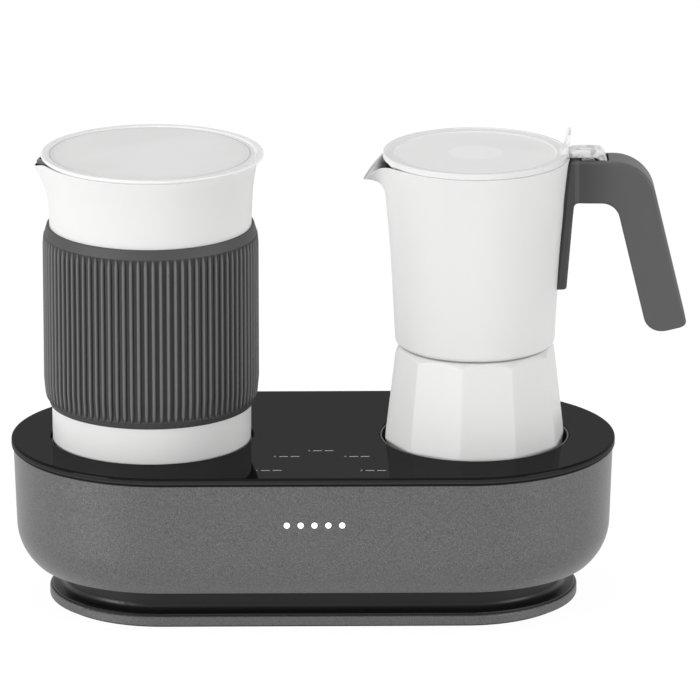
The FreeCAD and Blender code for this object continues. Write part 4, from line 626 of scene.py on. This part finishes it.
def vessel(name, x, outer, inner, foot, low, rim, swell, wall):
    """Vessel with a beak, closed from its foot up the outer wall, over a rounded rim and down inside.

    The rim is half an ellipse across the wall. From low to the rim the inner wall shifts until the wall has
    its thickness of that angle. Without rows for the foot both ends are poles on the axis. The share that a
    material reads is 1 on the inside.
    """
    angles = beak_angles()
    crown = np.minimum(wall / 2, 0.45)
    radius, height = drawn(outer, low, rim, swell, crown)
    within, level = drawn(inner, low, rim, swell, crown)
    climb = np.clip((inner[:, 1:] - low) / (inner[-1, 1] - low), 0.0, 1.0)
    within = within + climb * (radius[-1] - wall - within[-1])
    turn = np.linspace(0.0, np.pi, 9)[:, None]
    edge = radius[-1] - wall / 2 + wall / 2 * np.cos(turn)
    crest = rim - crown + crown * np.sin(turn)
    flat = np.zeros((len(foot), len(angles)))
    rings = np.vstack([radius[:-1], edge, within[-2::-1], foot[:, :1] + flat])
    heights = np.vstack([height[:-1], crest, level[-2::-1], foot[:, 1:] + flat])
    share = np.repeat([0.0, 1.0, 0.0], [len(outer) + len(turn) - 2, len(inner), len(foot)])[:, None]
    return skin(name, around(rings, heights, angles, x), loop=len(foot) > 0, sharp=50.0, share=share)


def jug_surface():
    """Wall of the jug. Its beak swells by the share squared times 1.6 less 0.6 of the share squared.

    Each radius is the mean of nine over up to 3 mm of height to both sides, which smooths the wall's bends.
    """
    angles = beak_angles()
    low, top, thick = 90.3, JUG_RIM, 1.5
    foot = rounded([(0.0, 83.3), (50.75, 83.3, 1.2), (50.95, low)])[:-1]
    rise = np.r_[np.linspace(low, 198.0, 10), 200.0, 202.0, np.linspace(204.0, top, 50)]
    heights = [low, 198.0, 204.0, 208.0, 212.0, 216.4, 220.7, 225.0, 229.0, top]
    radii = [50.95, 51.5, 51.7, 51.9, 52.05, 52.35, 52.8, 53.5, 54.2, 54.8]
    spread = np.clip(np.minimum(rise - 193.0, top - rise), 0.0, 3.0)
    blur = rise[:, None] + spread[:, None] * np.linspace(-1.0, 1.0, 9)
    wall = np.column_stack([np.interp(blur, heights, radii).mean(1), rise])
    hollow = rounded([(0.0, 84.9), (49.25, 84.9, 2.0), (49.45, 92.0)])[:-1]
    lining = np.column_stack([wall[:, 0] - thick, rise])[1:]
    rim = top - 4.2 * beak_share(angles, 11.0, 1.3)
    proud = 4.7 * beak_share(angles, 6.5, 1.0)
    return vessel(
        "jug_wall", JUG_X, np.vstack([foot, wall]), np.vstack([hollow, lining]), np.empty((0, 2)), BEAK_LOW,
        rim, lambda up: proud * up * up * (1.6 - 0.6 * up * up), thick - 0.8 * beak_share(angles, 16.0, 1.0),
    )


def chamber_surface():
    """Upper chamber. Under the middle of its beak the wall swells as a quarter of a superellipse.

    Away from the middle the swell goes over to the share to the power of 2.5, which leaves the wall straight.
    """
    angles = beak_angles()
    low, bend, top = CHAMBER_HEIGHTS
    wide_low, wide_bend, wide_top = CHAMBER_RADII
    thick = 2.2
    outside = rounded([
        (33.35, low), (wide_low, low, 2.6), (wide_bend, bend, 900.0), (wide_top, top), (0.0, top),
    ])
    inside = rounded([
        (6.0, 151.6), (39.32, 151.6, 3.0), (wide_bend - thick, bend, 900.0), (wide_top - thick, top),
        (0.0, top),
    ])
    rise = np.r_[np.linspace(160.0, 205.0, 16), top - 26.0 * (1.0 - np.linspace(0.0, 1.0, 48)) ** 1.7]
    walls = []
    for line in (outside[:-1], inside[:-1]):
        walls.append(np.vstack([line[line[:, 1] < 158.0], at_heights(line, rise)]))
    foot = rounded([
        (6.0, 149.4), (21.0, 149.4, 2.0), (27.0, 145.9), (31.3, 145.9), (31.3, 145.0), (33.35, 145.0),
        (33.35, 144.0),
    ])
    middle = beak_share(angles, 12.0, 1.4)
    rim = top - 11.3 * beak_share(angles, 12.0, 1.55)

    def swell(up):
        deep = 1.0 - np.sqrt(1.0 - up ** 4.34)
        return 10.5 * middle * (middle * deep + (1.0 - middle) * up ** 2.5)

    wall = thick - 1.3 * beak_share(angles, 20.0, 1.0)
    return vessel("chamber_wall", POT_X, *walls, foot, BEAK_LOW, rim, swell, wall)


def ladder(name, first, second, half, edge, shape=None, across=()):
    """Bar between two side lines of equal length, given as (x, z), with rounded long edges.

    Each row is a rounded rectangle that spans from the first line to the second and reaches half to both
    sides. Its corners are quarter circles of the edge's radius, or less where the lines come close. The run
    on the second line has columns at the distances across; a shape function may move the finished points.
    """
    span = np.linalg.norm(second - first, axis=1)[:, None]
    half = np.broadcast_to(half, len(first))[:, None]
    small = np.minimum(np.minimum(edge, 0.45 * span), 0.9 * half)
    turn = np.linspace(0.0, np.pi / 2, 6)
    runs = []
    for quarter, (along, side) in enumerate(((1, 1), (-1, 1), (-1, -1), (1, -1))):
        angle = turn + quarter * np.pi / 2
        runs.append(np.stack([
            along * (span / 2 - small) + small * np.cos(angle), side * (half - small) + small * np.sin(angle),
        ], -1))
    share = np.linspace(0.0, 1.0, 26)[None, 1:-1, None]
    front = runs[0][:, -1:] * (1.0 - share) + runs[1][:, :1] * share
    back = runs[2][:, -1:] * (1.0 - share) + runs[3][:, :1] * share
    lane = np.broadcast_to(np.array(across, float), (len(first), len(across)))
    top = np.stack([span / 2 + 0.0 * lane, lane], -1)
    ring = np.concatenate([runs[0], front, runs[1], runs[2], back, runs[3], top], 1)
    along = 0.5 + ring[..., :1] / np.maximum(span[..., None], 1e-9)
    spot = first[:, None] * (1.0 - along) + second[:, None] * along
    grid = np.stack([spot[..., 0], ring[..., 1], spot[..., 1]], -1)
    if shape:
        grid = shape(grid)
    ends = [np.broadcast_to(grid[k].mean(0), (1,) + grid[k].shape) for k in (0, -1)]
    return skin(name, np.concatenate([ends[0], grid, ends[1]]), sharp=40.0)


def along_line(corners, shares):
    """Points at shares of the length of a line through corners."""
    return at_places(np.array(corners), lambda run: shares * run[-1])


def arc(start, corner, end, radius, steps=9):
    """Arc of a radius in the corner between two straight runs, from the first run to the second."""
    return rounded([start, (*corner, radius), end], steps - 1)[1:-1]


def chained(arcs, shares):
    """Arcs joined by straight runs, with points at given shares of each run."""
    line = [arcs[0]]
    for before, after, places in zip(arcs, arcs[1:], shares):
        line += [along_line([before[-1], after[0]], places)[1:-1], after]
    return np.vstack(line)


def handle_surface():
    """Handle of the pot.

    The front lies between two side lines, one round the inside of the hook and one round its outside. Below
    the arm the handle narrows smoothly to the strip that lies against the chamber. The top sinks between the
    ears, under the lid's knuckle as a circle round the hinge and behind it as a wider one, for the end of the
    strap to swing in.
    """
    x, z = 126.1, POT_RIM
    roof, sole = z - 0.7, z - 68.5
    strip_foot, foot_right, foot_left = (x + 0.4, sole), (x + 3.2, sole), (x - 5.0, sole)
    inner_top, inner_end, inner_low = (x + 6.8, z - 22.5), (x + 28.0, z - 22.7), (x + 44.8, z - 92.0)
    outer_top, outer_low, grip_foot = (x + 43.9, roof), (x + 64.9, z - 87.1), (x + 54.0, z - 89.75)
    wall_low, wall_top = (x - 0.2, z - 22.0), (x + 0.2, z - 8.0)
    half, strip_half, slot_half, near = 10.5, 7.5, 6.33, 0.03
    slot_start, slot_step, slot_end = 135.47, 138.77, 150.47
    knuckle_room, strap_room, gap = 4.5, 10.5, 0.15
    ease = np.linspace(0.0, 1.0, 9)
    crown = np.array([
        131.0, 133.0, slot_start - near, slot_start + near, 136.0, 137.0, 138.0, slot_step - near,
        slot_step + near, 140.0, 142.0, 144.0, 146.0, 148.0, 149.2, 150.1, slot_end - near, slot_end + near,
        152.2,
    ])
    level = (crown - crown[0]) / (crown[-1] - crown[0])
    bend_in = arc(inner_top, inner_end, inner_low, 9.3, 17)
    bend_out = arc((crown[-1], roof), outer_top, outer_low, 21.5, 17)
    foot_in = arc(strip_foot, foot_right, inner_top, 1.2)
    corner = arc(foot_right, inner_top, inner_end, 2.6)
    toe_in = arc(inner_end, inner_low, grip_foot, 8.8, 13)
    toe_out = arc(outer_top, outer_low, grip_foot, 2.7, 13)
    heel = arc(strip_foot, foot_left, wall_low, 1.2)
    shoulder = [wall_low, wall_top, (x + 0.6, z - 4.5), (x + 3.0, z - 1.0), (crown[0], roof)]
    rise = along_line(shoulder, ease)
    flat = np.column_stack([crown, np.full(len(crown), roof)])[1:-1]
    first = chained([foot_in, corner, bend_in, toe_in], [ease, level, ease])
    second = chained([heel, np.vstack([rise, flat, bend_out]), toe_out], [ease, ease])

    def shape(grid):
        out, side, up = grid[..., 0], grid[..., 1], grid[..., 2]
        share = np.clip(np.maximum((up - 203.0) / 9.0, out - 136.0), 0.0, 1.0)
        wide = strip_half + (half - strip_half) * share * share * (3.0 - 2.0 * share)
        side = side * wide / half
        circle = np.where(out < slot_step, knuckle_room, strap_room)
        sunk = HINGE[1] - np.sqrt(np.clip(circle ** 2 - (out - HINGE[0]) ** 2, 0.0, None))
        inside = (np.abs(side) < slot_half) & (out > slot_start) & (out < slot_end) & (up > roof - 1.3)
        up = np.where(inside, sunk, up)
        chamber = np.interp(up, CHAMBER_HEIGHTS, CHAMBER_RADII) + gap
        out = np.maximum(out, POT_X + np.sqrt(chamber ** 2 - side ** 2))
        return np.stack([out, side, up], -1)

    lanes = (-slot_half - near, near - slot_half, 0.0, slot_half - near, slot_half + near)
    return ladder("hook_handle", first, second, half, 1.6, shape, lanes)


def lid_surfaces():
    """Lid of the pot: its disc turned on a lathe, the strap of its hinge, the knuckle and the leaning tab."""
    plug, brim, low, high, crest, wide = 230.4, 233.08, 233.4, 235.0, 236.1, 47.2
    section = rounded([
        (0.0, low), (43.7, low), (43.7, plug, 0.4), (44.9, plug, 0.4), (44.9, low), (46.3, low), (46.3, brim),
        (wide, brim, 0.3), (wide, crest, 0.5), (45.9, crest, 0.3), (45.6, 235.75, 0.15), (41.4, 235.35, 0.5),
        (40.7, high, 0.6), (0.0, high),
    ])
    disc = skin("lid_disc", around(section[:, :1], section[:, 1:], turns(160, [0.0]), POT_X))
    swing = np.radians(np.linspace(52.0, 6.0, 10))
    ray = np.column_stack([np.cos(swing), np.sin(swing)])
    top = np.vstack([
        (126.6, 235.9), (128.5, 236.1), (130.6, 236.8), (132.6, 237.3), (135.0, 237.5), (139.0, 237.55),
        (142.0, 237.5), (144.5, 237.4), HINGE + 9.9 * ray,
    ])
    under = np.vstack([
        (126.8, 233.7), (128.6, 233.6), (130.8, 233.5), (132.8, 233.4), (135.0, 233.35), (137.0, 233.3),
        (139.5, 233.3), (141.5, 233.3), HINGE + np.linspace(5.0, 6.5, len(ray))[:, None] * ray,
    ])
    strap = ladder("lid_strap", under, top, 6.0, 0.9)
    turn = turns(48, [0.0])
    face = np.array([[0.0, -5.2], [3.9, -5.2], [4.2, -4.9], [4.2, 4.9], [3.9, 5.2], [0.0, 5.2]])
    radius, side = face[:, :1], face[:, 1:] + 0.0 * turn
    eye = np.stack([HINGE[0] + radius * np.cos(turn), side, HINGE[1] + radius * np.sin(turn)], -1)
    knuckle = skin("lid_knuckle", eye)
    neck = ladder(
        "lid_neck", np.array([(137.0, 230.6), (137.2, 233.0), (137.0, 234.9)]),
        np.array([(143.0, 230.6), (142.8, 233.0), (143.0, 234.9)]), 5.2, 0.6,
    )
    up = np.linspace(0.0, 1.0, 24)
    height = 235.6 + 12.3 * up
    right = np.column_stack([128.9 + 2.2 * up ** 0.6, height])
    left = np.column_stack([125.4 + 4.5 * up ** 0.45, height - 0.2 * up])
    spread = 7.2 * np.sqrt(1.0 - 0.97 * up ** 5)
    tab = ladder("lid_tab", left, right, spread, 0.7)
    return disc, strap, knuckle, neck, tab


def boiler_surface(sizes):
    """Faceted boiler.

    A rounded section turned about the pot's axis is cut by upright flats that lean inward. Seen from the
    axis, a flat lies at its distance over the cosine of the angle from its middle, and the skin lies at the
    least of the section and the flats. The least is taken softly, as the sum of each distance to a high
    negative power brought back to its root, which rounds the edges between flats and against the shoulder.
    """
    count = sizes.facet_count
    wide_foot, wide_top, soft = 47.5, 40.85, 500.0
    outside = rounded([
        (0.0, POT_Z),
        (44.2, POT_Z, 3.0),
        (46.2, POT_Z + 7.0, 6.0),
        (46.2, POT_Z + 13.0, 20.0),
        (41.9, POT_Z + 52.5, 4.0),
        (38.2, BOILER_TOP, 1.2),
        (33.0, BOILER_TOP, 0.8),
        (33.0, NECK_TOP, 0.5),
        (30.6, NECK_TOP, 0.5),
        (30.6, BOILER_TOP - 2.2, 1.0),
        (36.6, POT_Z + 49.5, 3.0),
        (41.6, POT_Z + 12.0, 8.0),
        (40.6, POT_Z + 3.0, 4.0),
        (0.0, POT_Z + 3.0),
    ])
    section = spaced(outside, 1.4)
    # Columns beside an edge, in degrees where a flat takes 36
    near = np.array([0.2, 0.4, 0.65, 1.0, 1.5, 2.3, 4.0, 7.0, 11.0, 15.0]) / 36.0
    angles = turns(count, np.r_[0.0, near, 1.0 - near[::-1]]) + math.radians(FACET_START)
    middles = np.radians(FACET_START + 360.0 / count * (np.arange(count) + 0.5))
    share = (section[:, 1] - POT_Z) / (BOILER_TOP - POT_Z)
    distance = (wide_foot + share * (wide_top - wide_foot)) * math.cos(math.pi / count)
    facing = np.maximum(np.cos(angles[:, None] - middles[None, :]), 1e-3)
    sharp = sizes.facet_sharpness
    inverse = facing[None] / distance[:, None, None]
    largest = inverse.max(-1, keepdims=True)
    flats = (largest[..., 0] * ((inverse / largest) ** sharp).sum(-1) ** (1.0 / sharp)) ** -1.0
    turned = np.maximum(section[:, :1], 1e-9)
    most = np.minimum(turned, flats)
    radius = most * ((most / turned) ** soft + (most / flats) ** soft) ** (-1.0 / soft)
    inside = np.arange(len(section)) > np.argmax(section[:, 1])
    radius[inside] = np.broadcast_to(section[inside, :1], radius[inside].shape)
    radius[[0, -1]] = 0.0
    return skin("faceted_boiler", around(radius, section[:, 1:], angles, POT_X), sharp=40.0)


def boss_surface():
    """Round boss of the safety valve: a small rounded section turned about the valve's level axis."""
    facing = math.radians(VALVE_ANGLE)
    section = rounded([(3.65, 40.4), (6.6, 40.4), (6.6, 43.74, 0.6), (3.65, 43.74, 0.2)], 5)
    angles = turns(48, [0.0])
    out = section[:, 1:] + 0.0 * angles
    side = section[:, :1] * np.cos(angles)
    up = section[:, :1] * np.sin(angles)
    across = POT_X + out * math.cos(facing) - side * math.sin(facing)
    back = out * math.sin(facing) + side * math.cos(facing)
    return skin("valve_boss", np.stack([across, back, POT_Z + 27.0 + up], -1), loop=True)


def digit_mark(digit, x, y, height):
    """Flat digit laid on the deck with its middle at x and y, a hair above the glass."""
    curve = bpy.data.curves.new("digit", "FONT")
    curve.body = digit
    curve.size = height * 1.4
    curve.align_x = curve.align_y = "CENTER"
    curve.resolution_u = 4
    curve.extrude = PRINT * MM / 2
    text = placed("digit", curve)
    mesh = bpy.data.meshes.new_from_object(text.evaluated_get(bpy.context.evaluated_depsgraph_get()))
    bpy.data.objects.remove(text)
    mesh.transform(Matrix.Translation(Vector((x, y, DECK_TOP + PRINT)) * MM))
    return placed("deck_digit_" + digit, mesh)


def bars_surface(centres, wide, deep):
    """Short bars with round ends, flat on the deck.

    Every bar is the outline of a straight run with half circles at its ends, as a lower and an upper loop;
    the four rows of a bar are its lower middle, lower loop, upper loop and upper middle.
    """
    turn = turns(24, [0.5])
    across = np.sign(np.cos(turn)) * (wide - deep) / 2 + np.cos(turn) * deep / 2
    loop = np.column_stack([across, np.sin(turn) * deep / 2])
    plan = np.stack([loop * 0.0, loop, loop, loop * 0.0])
    height = DECK_TOP + np.array([0.0, 0.0, PRINT, PRINT])[:, None, None] + np.zeros((4, len(turn), 1))
    made = []
    for number, (x, y) in enumerate(centres):
        grid = np.concatenate([plan + np.array([x, y]), height], -1)
        made.append(skin(f"deck_bar_{number + 1}", grid))
    return made


class MokaSizes(bpy.types.PropertyGroup):
    """Sizes of the surfaces that the scene adds."""

    rib_count: IntProperty(
        name="Grooves", description="Upright grooves round the jug's sleeve", default=90, min=12,
    )
    groove_depth: FloatProperty(
        name="Groove depth", description="Depth of a groove of the sleeve",
        default=0.0015, min=0.0, unit="LENGTH", subtype="DISTANCE",
    )
    facet_count: IntProperty(name="Flats", description="Flats round the boiler", default=10, min=6)
    facet_sharpness: FloatProperty(
        name="Edge sharpness", description="Higher values give crisper edges between the boiler's flats",
        default=250.0, min=20.0,
    )
    mark_height: FloatProperty(
        name="Mark height", description="Height of the digits on the deck",
        default=0.002, min=0.0005, unit="LENGTH", subtype="DISTANCE",
    )


RGB = {"subtype": "COLOR", "min": 0.0, "max": 1.0}


class MokaColours(bpy.types.PropertyGroup):
    """Colours that a user may want to change."""

    body: FloatVectorProperty(
        name="Body", description="Speckled paint of the body", default=grey(0.112), **RGB,
    )
    enamel: FloatVectorProperty(
        name="Enamel", description="White enamel of jug and pot", default=(0.79, 0.79, 0.785), **RGB,
    )
    handle: FloatVectorProperty(
        name="Handle", description="Moulded handle of the pot", default=grey(0.071), **RGB,
    )
    sleeve: FloatVectorProperty(
        name="Sleeve", description="Silicone sleeve of the jug", default=(0.075, 0.075, 0.076), **RGB,
    )
    glass: FloatVectorProperty(
        name="Deck glass", description="Black glass of the deck", default=(0.004, 0.004, 0.0045), **RGB,
    )
    lids: FloatVectorProperty(
        name="Lids", description="Frosted floors of both lids", default=(0.95, 0.95, 0.945), **RGB,
    )
    marks: FloatVectorProperty(name="Marks", description="Print on the deck", default=grey(0.42), **RGB)


class MOKA_OT_base(bpy.types.Operator):
    """Finish the outside of the base: body, plinth, base plate, mat, deck and wells"""

    bl_idname = "moka.base"
    bl_label = "Base"

    def execute(self, context):
        colours = context.scene.moka_colours
        coat(["body_shell"], metallic_paint("body_paint", colours.body, 0.5, 0.37))
        coat(["base_plate"], metallic_paint("plate_paint", shade(colours.body, 0.95), 0.3, 0.5))
        coat(["plinth"], glossy("plinth_gloss", grey(0.01), 0.36))
        coat(["deck_frame"], moulded("frame_black", grey(0.012), 0.5))
        coat(["top_glass"], deck_glass("deck_glass", colours.glass))
        coat(["foot_mat"], moulded("mat_rubber", (0.02, 0.02, 0.022), 0.8, 900.0, 0.0001))
        coat(["pot_well", "jug_seat"], moulded("well_dark", grey(0.02), 0.42))
        coat(["pot_hot_plate"], turned_metal("plate_cast", (0.30, 0.30, 0.31), 0.5, POT_X))
        coat(["mains_inlet"], moulded("inlet_black", grey(0.02), 0.45))
        coat(["light_pipe"], lit("light_white", grey(1.0), 1.0))
        return {"FINISHED"}


class MOKA_OT_inside(bpy.types.Operator):
    """Finish what the base holds inside: heater, sensor, motor, magnets, boards and screws"""

    bl_idname = "moka.inside"
    bl_label = "Inside of the base"

    def execute(self, context):
        coat(["inlet_pins", "safety_valve", "valve_pin"], metal("brass", (0.72, 0.52, 0.24), 0.3))
        coat([
            "base_screws", "deck_screws", "plate_screws", "motor_screws", "board_screws", "handle_screw",
            "handle_pin", "hinge_pin", "motor_shaft", "whisk_pin",
        ], metal("plated_steel", grey(0.55), 0.35))
        coat(["drive_magnets", "hub_magnets"], metal("nickel", (0.6, 0.6, 0.58), 0.25))
        coat(["heat_shield", "motor_bracket", "drive_motor"], metal("sheet_steel", grey(0.5), 0.4))
        coat(["heating_element", "sensor_guide"], metal("tube_steel", (0.36, 0.34, 0.32), 0.45))
        coat(["pot_sensor", "sensor_spring"], turned_metal("sensor_steel", grey(0.62), 0.3, POT_X))
        coat(["thermostat"], moulded("ceramic_body", (0.7, 0.66, 0.58), 0.6))
        coat(["jug_heater"], moulded("film_amber", (0.35, 0.14, 0.03), 0.35))
        coat(["drive_rotor"], moulded("nylon", (0.7, 0.7, 0.66), 0.5))
        coat(["control_board", "touch_board", "light_board"], circuit_board("board_green"))
        return {"FINISHED"}


class MOKA_OT_marks(bpy.types.Operator):
    """Print the five digits with their bars on the deck"""

    bl_idname = "moka.marks"
    bl_label = "Deck marks"

    def execute(self, context):
        height = context.scene.moka_sizes.mark_height
        marks = [digit_mark(digit, x - 5.6, y, height) for digit, x, y in DECK_MARKS]
        spots = [(x + side, y) for digit, x, y in DECK_MARKS for side in (-1.2, 4.6)]
        marks += bars_surface(spots, 4.6, 0.9)
        coat(marks, printed("mark_print", context.scene.moka_colours.marks))
        for mark in marks:
            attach(mark, "base")
        return {"FINISHED"}


class MOKA_OT_jug(bpy.types.Operator):
    """Finish the jug, its inner pot and its whisk"""

    bl_idname = "moka.jug"
    bl_label = "Milk jug"

    def execute(self, context):
        white = context.scene.moka_colours.enamel
        paint = enamel("jug_white", white, 0.42, lining=grey(0.02), lining_rough=0.4)
        stand_in([jug_surface()], "milk_jug", "jug", paint)
        coat(["jug_liner"], moulded("liner_dark", grey(0.025), 0.35))
        coat(["whisk_hub", "whisk_ring"], moulded("whisk_black", grey(0.03), 0.4))
        return {"FINISHED"}


class MOKA_OT_sleeve(bpy.types.Operator):
    """Make the jug's ribbed silicone sleeve"""

    bl_idname = "moka.sleeve"
    bl_label = "Sleeve"

    def execute(self, context):
        sleeve = sleeve_surface(context.scene.moka_sizes)
        paint = ribbed("sleeve_silicone", context.scene.moka_colours.sleeve, 0.62)
        stand_in([sleeve], "jug_sleeve", "jug", paint)
        return {"FINISHED"}


class MOKA_OT_lids(bpy.types.Operator):
    """Finish both lids and the seals"""

    bl_idname = "moka.lids"
    bl_label = "Lids"

    def execute(self, context):
        colour = context.scene.moka_colours.lids
        coat(["jug_lid"], frosted_lid("lid_frosted", colour))
        stand_in(lid_surfaces(), "pot_lid", "pot_cover", clear_lid("lid_clear", colour))
        coat(["lid_seal", "pot_gasket"], moulded("seal_silicone", (0.8, 0.8, 0.78), 0.5))
        return {"FINISHED"}


class MOKA_OT_boiler(bpy.types.Operator):
    """Make the faceted boiler with the boss of its safety valve"""

    bl_idname = "moka.boiler"
    bl_label = "Boiler"

    def execute(self, context):
        paint = enamel("boiler_white", context.scene.moka_colours.enamel, 0.42)
        pieces = [boiler_surface(context.scene.moka_sizes), boss_surface()]
        stand_in(pieces, "boiler", "pot_base", paint)
        coat(["funnel", "filter_plate"], turned_metal("bare_aluminium", grey(0.72), 0.4, POT_X))
        return {"FINISHED"}


class MOKA_OT_chamber(bpy.types.Operator):
    """Finish the upper chamber, its column and its handle"""

    bl_idname = "moka.chamber"
    bl_label = "Upper chamber"

    def execute(self, context):
        colours = context.scene.moka_colours
        paint = enamel("chamber_white", colours.enamel, 0.42, grey(0.45), 0.6, 0.5)
        stand_in([chamber_surface()], "upper_chamber", "chamber", paint)
        coat(["coffee_column"], turned_metal("column_aluminium", grey(0.72), 0.4, POT_X))
        coat(["column_cap"], moulded("cap_grey", grey(0.6), 0.4))
        paint = handle_plastic("handle_grey", colours.handle, 0.5)
        stand_in([handle_surface()], "handle", "chamber", paint)
        return {"FINISHED"}


class MOKA_OT_stage(bpy.types.Operator):
    """Set up the floor, the soft light and the camera"""

    bl_idname = "moka.stage"
    bl_label = "Stage"

    def execute(self, context):
        stage(context.scene)
        return {"FINISHED"}


class MOKA_PT_panel(bpy.types.Panel):
    """Buttons and settings of the moka pot"""

    bl_label = "Moka pot"
    bl_space_type = "VIEW_3D"
    bl_region_type = "UI"
    bl_category = "Moka pot"

    def draw(self, context):
        for group in (context.scene.moka_sizes, context.scene.moka_colours):
            box = self.layout.box()
            for key in group.__annotations__:
                box.prop(group, key)
        for operator in OPERATORS:
            self.layout.operator(operator.bl_idname)


OPERATORS = (
    MOKA_OT_stage, MOKA_OT_base, MOKA_OT_inside, MOKA_OT_marks, MOKA_OT_jug, MOKA_OT_sleeve,
    MOKA_OT_lids, MOKA_OT_boiler, MOKA_OT_chamber,
)


def studio_floor(size, glow, share):
    """Floor: a matt surface that takes shadows, and for the camera and reflections a share of white glow."""
    mesh = bpy.data.meshes.new("floor")
    corners = [(-size, -size, 0.0), (size, -size, 0.0), (size, size, 0.0), (-size, size, 0.0)]
    mesh.from_pydata(corners, [], [(0, 1, 2, 3)])
    floor = placed("floor", mesh)
    paint = Paint("floor_pale", grey(0.9), Roughness=0.9, Specular_IOR_Level=0.0)
    white = paint.node("Emission", {"Color": (1.0, 1.0, 1.0, 1.0), "Strength": glow})
    matt = Field(paint, paint.shader.outputs[0])
    paint.feed(paint.end.inputs[0], paint.node("MixShader", {0: paint.seen() * share, 1: matt, 2: white}))
    coat([floor], paint)


def studio_world(scene, strength):
    """Even white surroundings: full white where the camera or a reflection sees them, dimmer as a light."""
    world = bpy.data.worlds.new("studio")
    scene.world = world
    world.use_nodes = True
    graph = Graph(world.node_tree)
    sky = graph.tree.nodes["Background"]
    graph.feed(sky.inputs["Color"], (1.0, 1.0, 1.0, 1.0))
    level = graph.node("MapRange", {"Value": graph.seen(), "To Min": strength, "To Max": 1.0})
    graph.feed(sky.inputs["Strength"], level)


def stage(scene):
    """Floor, light and camera."""
    studio_floor(4.0, 1.04, 0.93)
    studio_world(scene, 0.4)
    for name, place, width, height, power in LAMPS:
        light = bpy.data.lights.new(name, "AREA")
        light.shape = "RECTANGLE"
        light.size = width
        light.size_y = height
        light.energy = power
        aimed(name, light, place, LAMP_AIM - Vector(place))
    scene.view_settings.view_transform = "Standard"
    camera = bpy.data.cameras.new("camera")
    camera.sensor_width = 36.0
    camera.lens = 391.6
    camera.clip_start = 0.1
    camera.clip_end = 50.0
    turn = math.radians(CAMERA_TURN)
    lift = math.radians(CAMERA_LIFT)
    back = Vector((math.sin(turn) * math.cos(lift), -math.cos(turn) * math.cos(lift), math.sin(lift)))
    scene.camera = aimed("camera", camera, CAMERA_AIM + back * CAMERA_AWAY, -back)


CLASSES = (MokaSizes, MokaColours, *OPERATORS, MOKA_PT_panel)


def register():
    for item in CLASSES:
        bpy.utils.register_class(item)
    bpy.types.Scene.moka_sizes = PointerProperty(type=MokaSizes)
    bpy.types.Scene.moka_colours = PointerProperty(type=MokaColours)


def unregister():
    del bpy.types.Scene.moka_colours
    del bpy.types.Scene.moka_sizes
    for item in reversed(CLASSES):
        bpy.utils.unregister_class(item)


def main():
    """Calls every operator in order."""
    register()
    for operator in OPERATORS:
        group, name = operator.bl_idname.split(".")
        getattr(getattr(bpy.ops, group), name)()


if __name__ == "__main__":
    main()
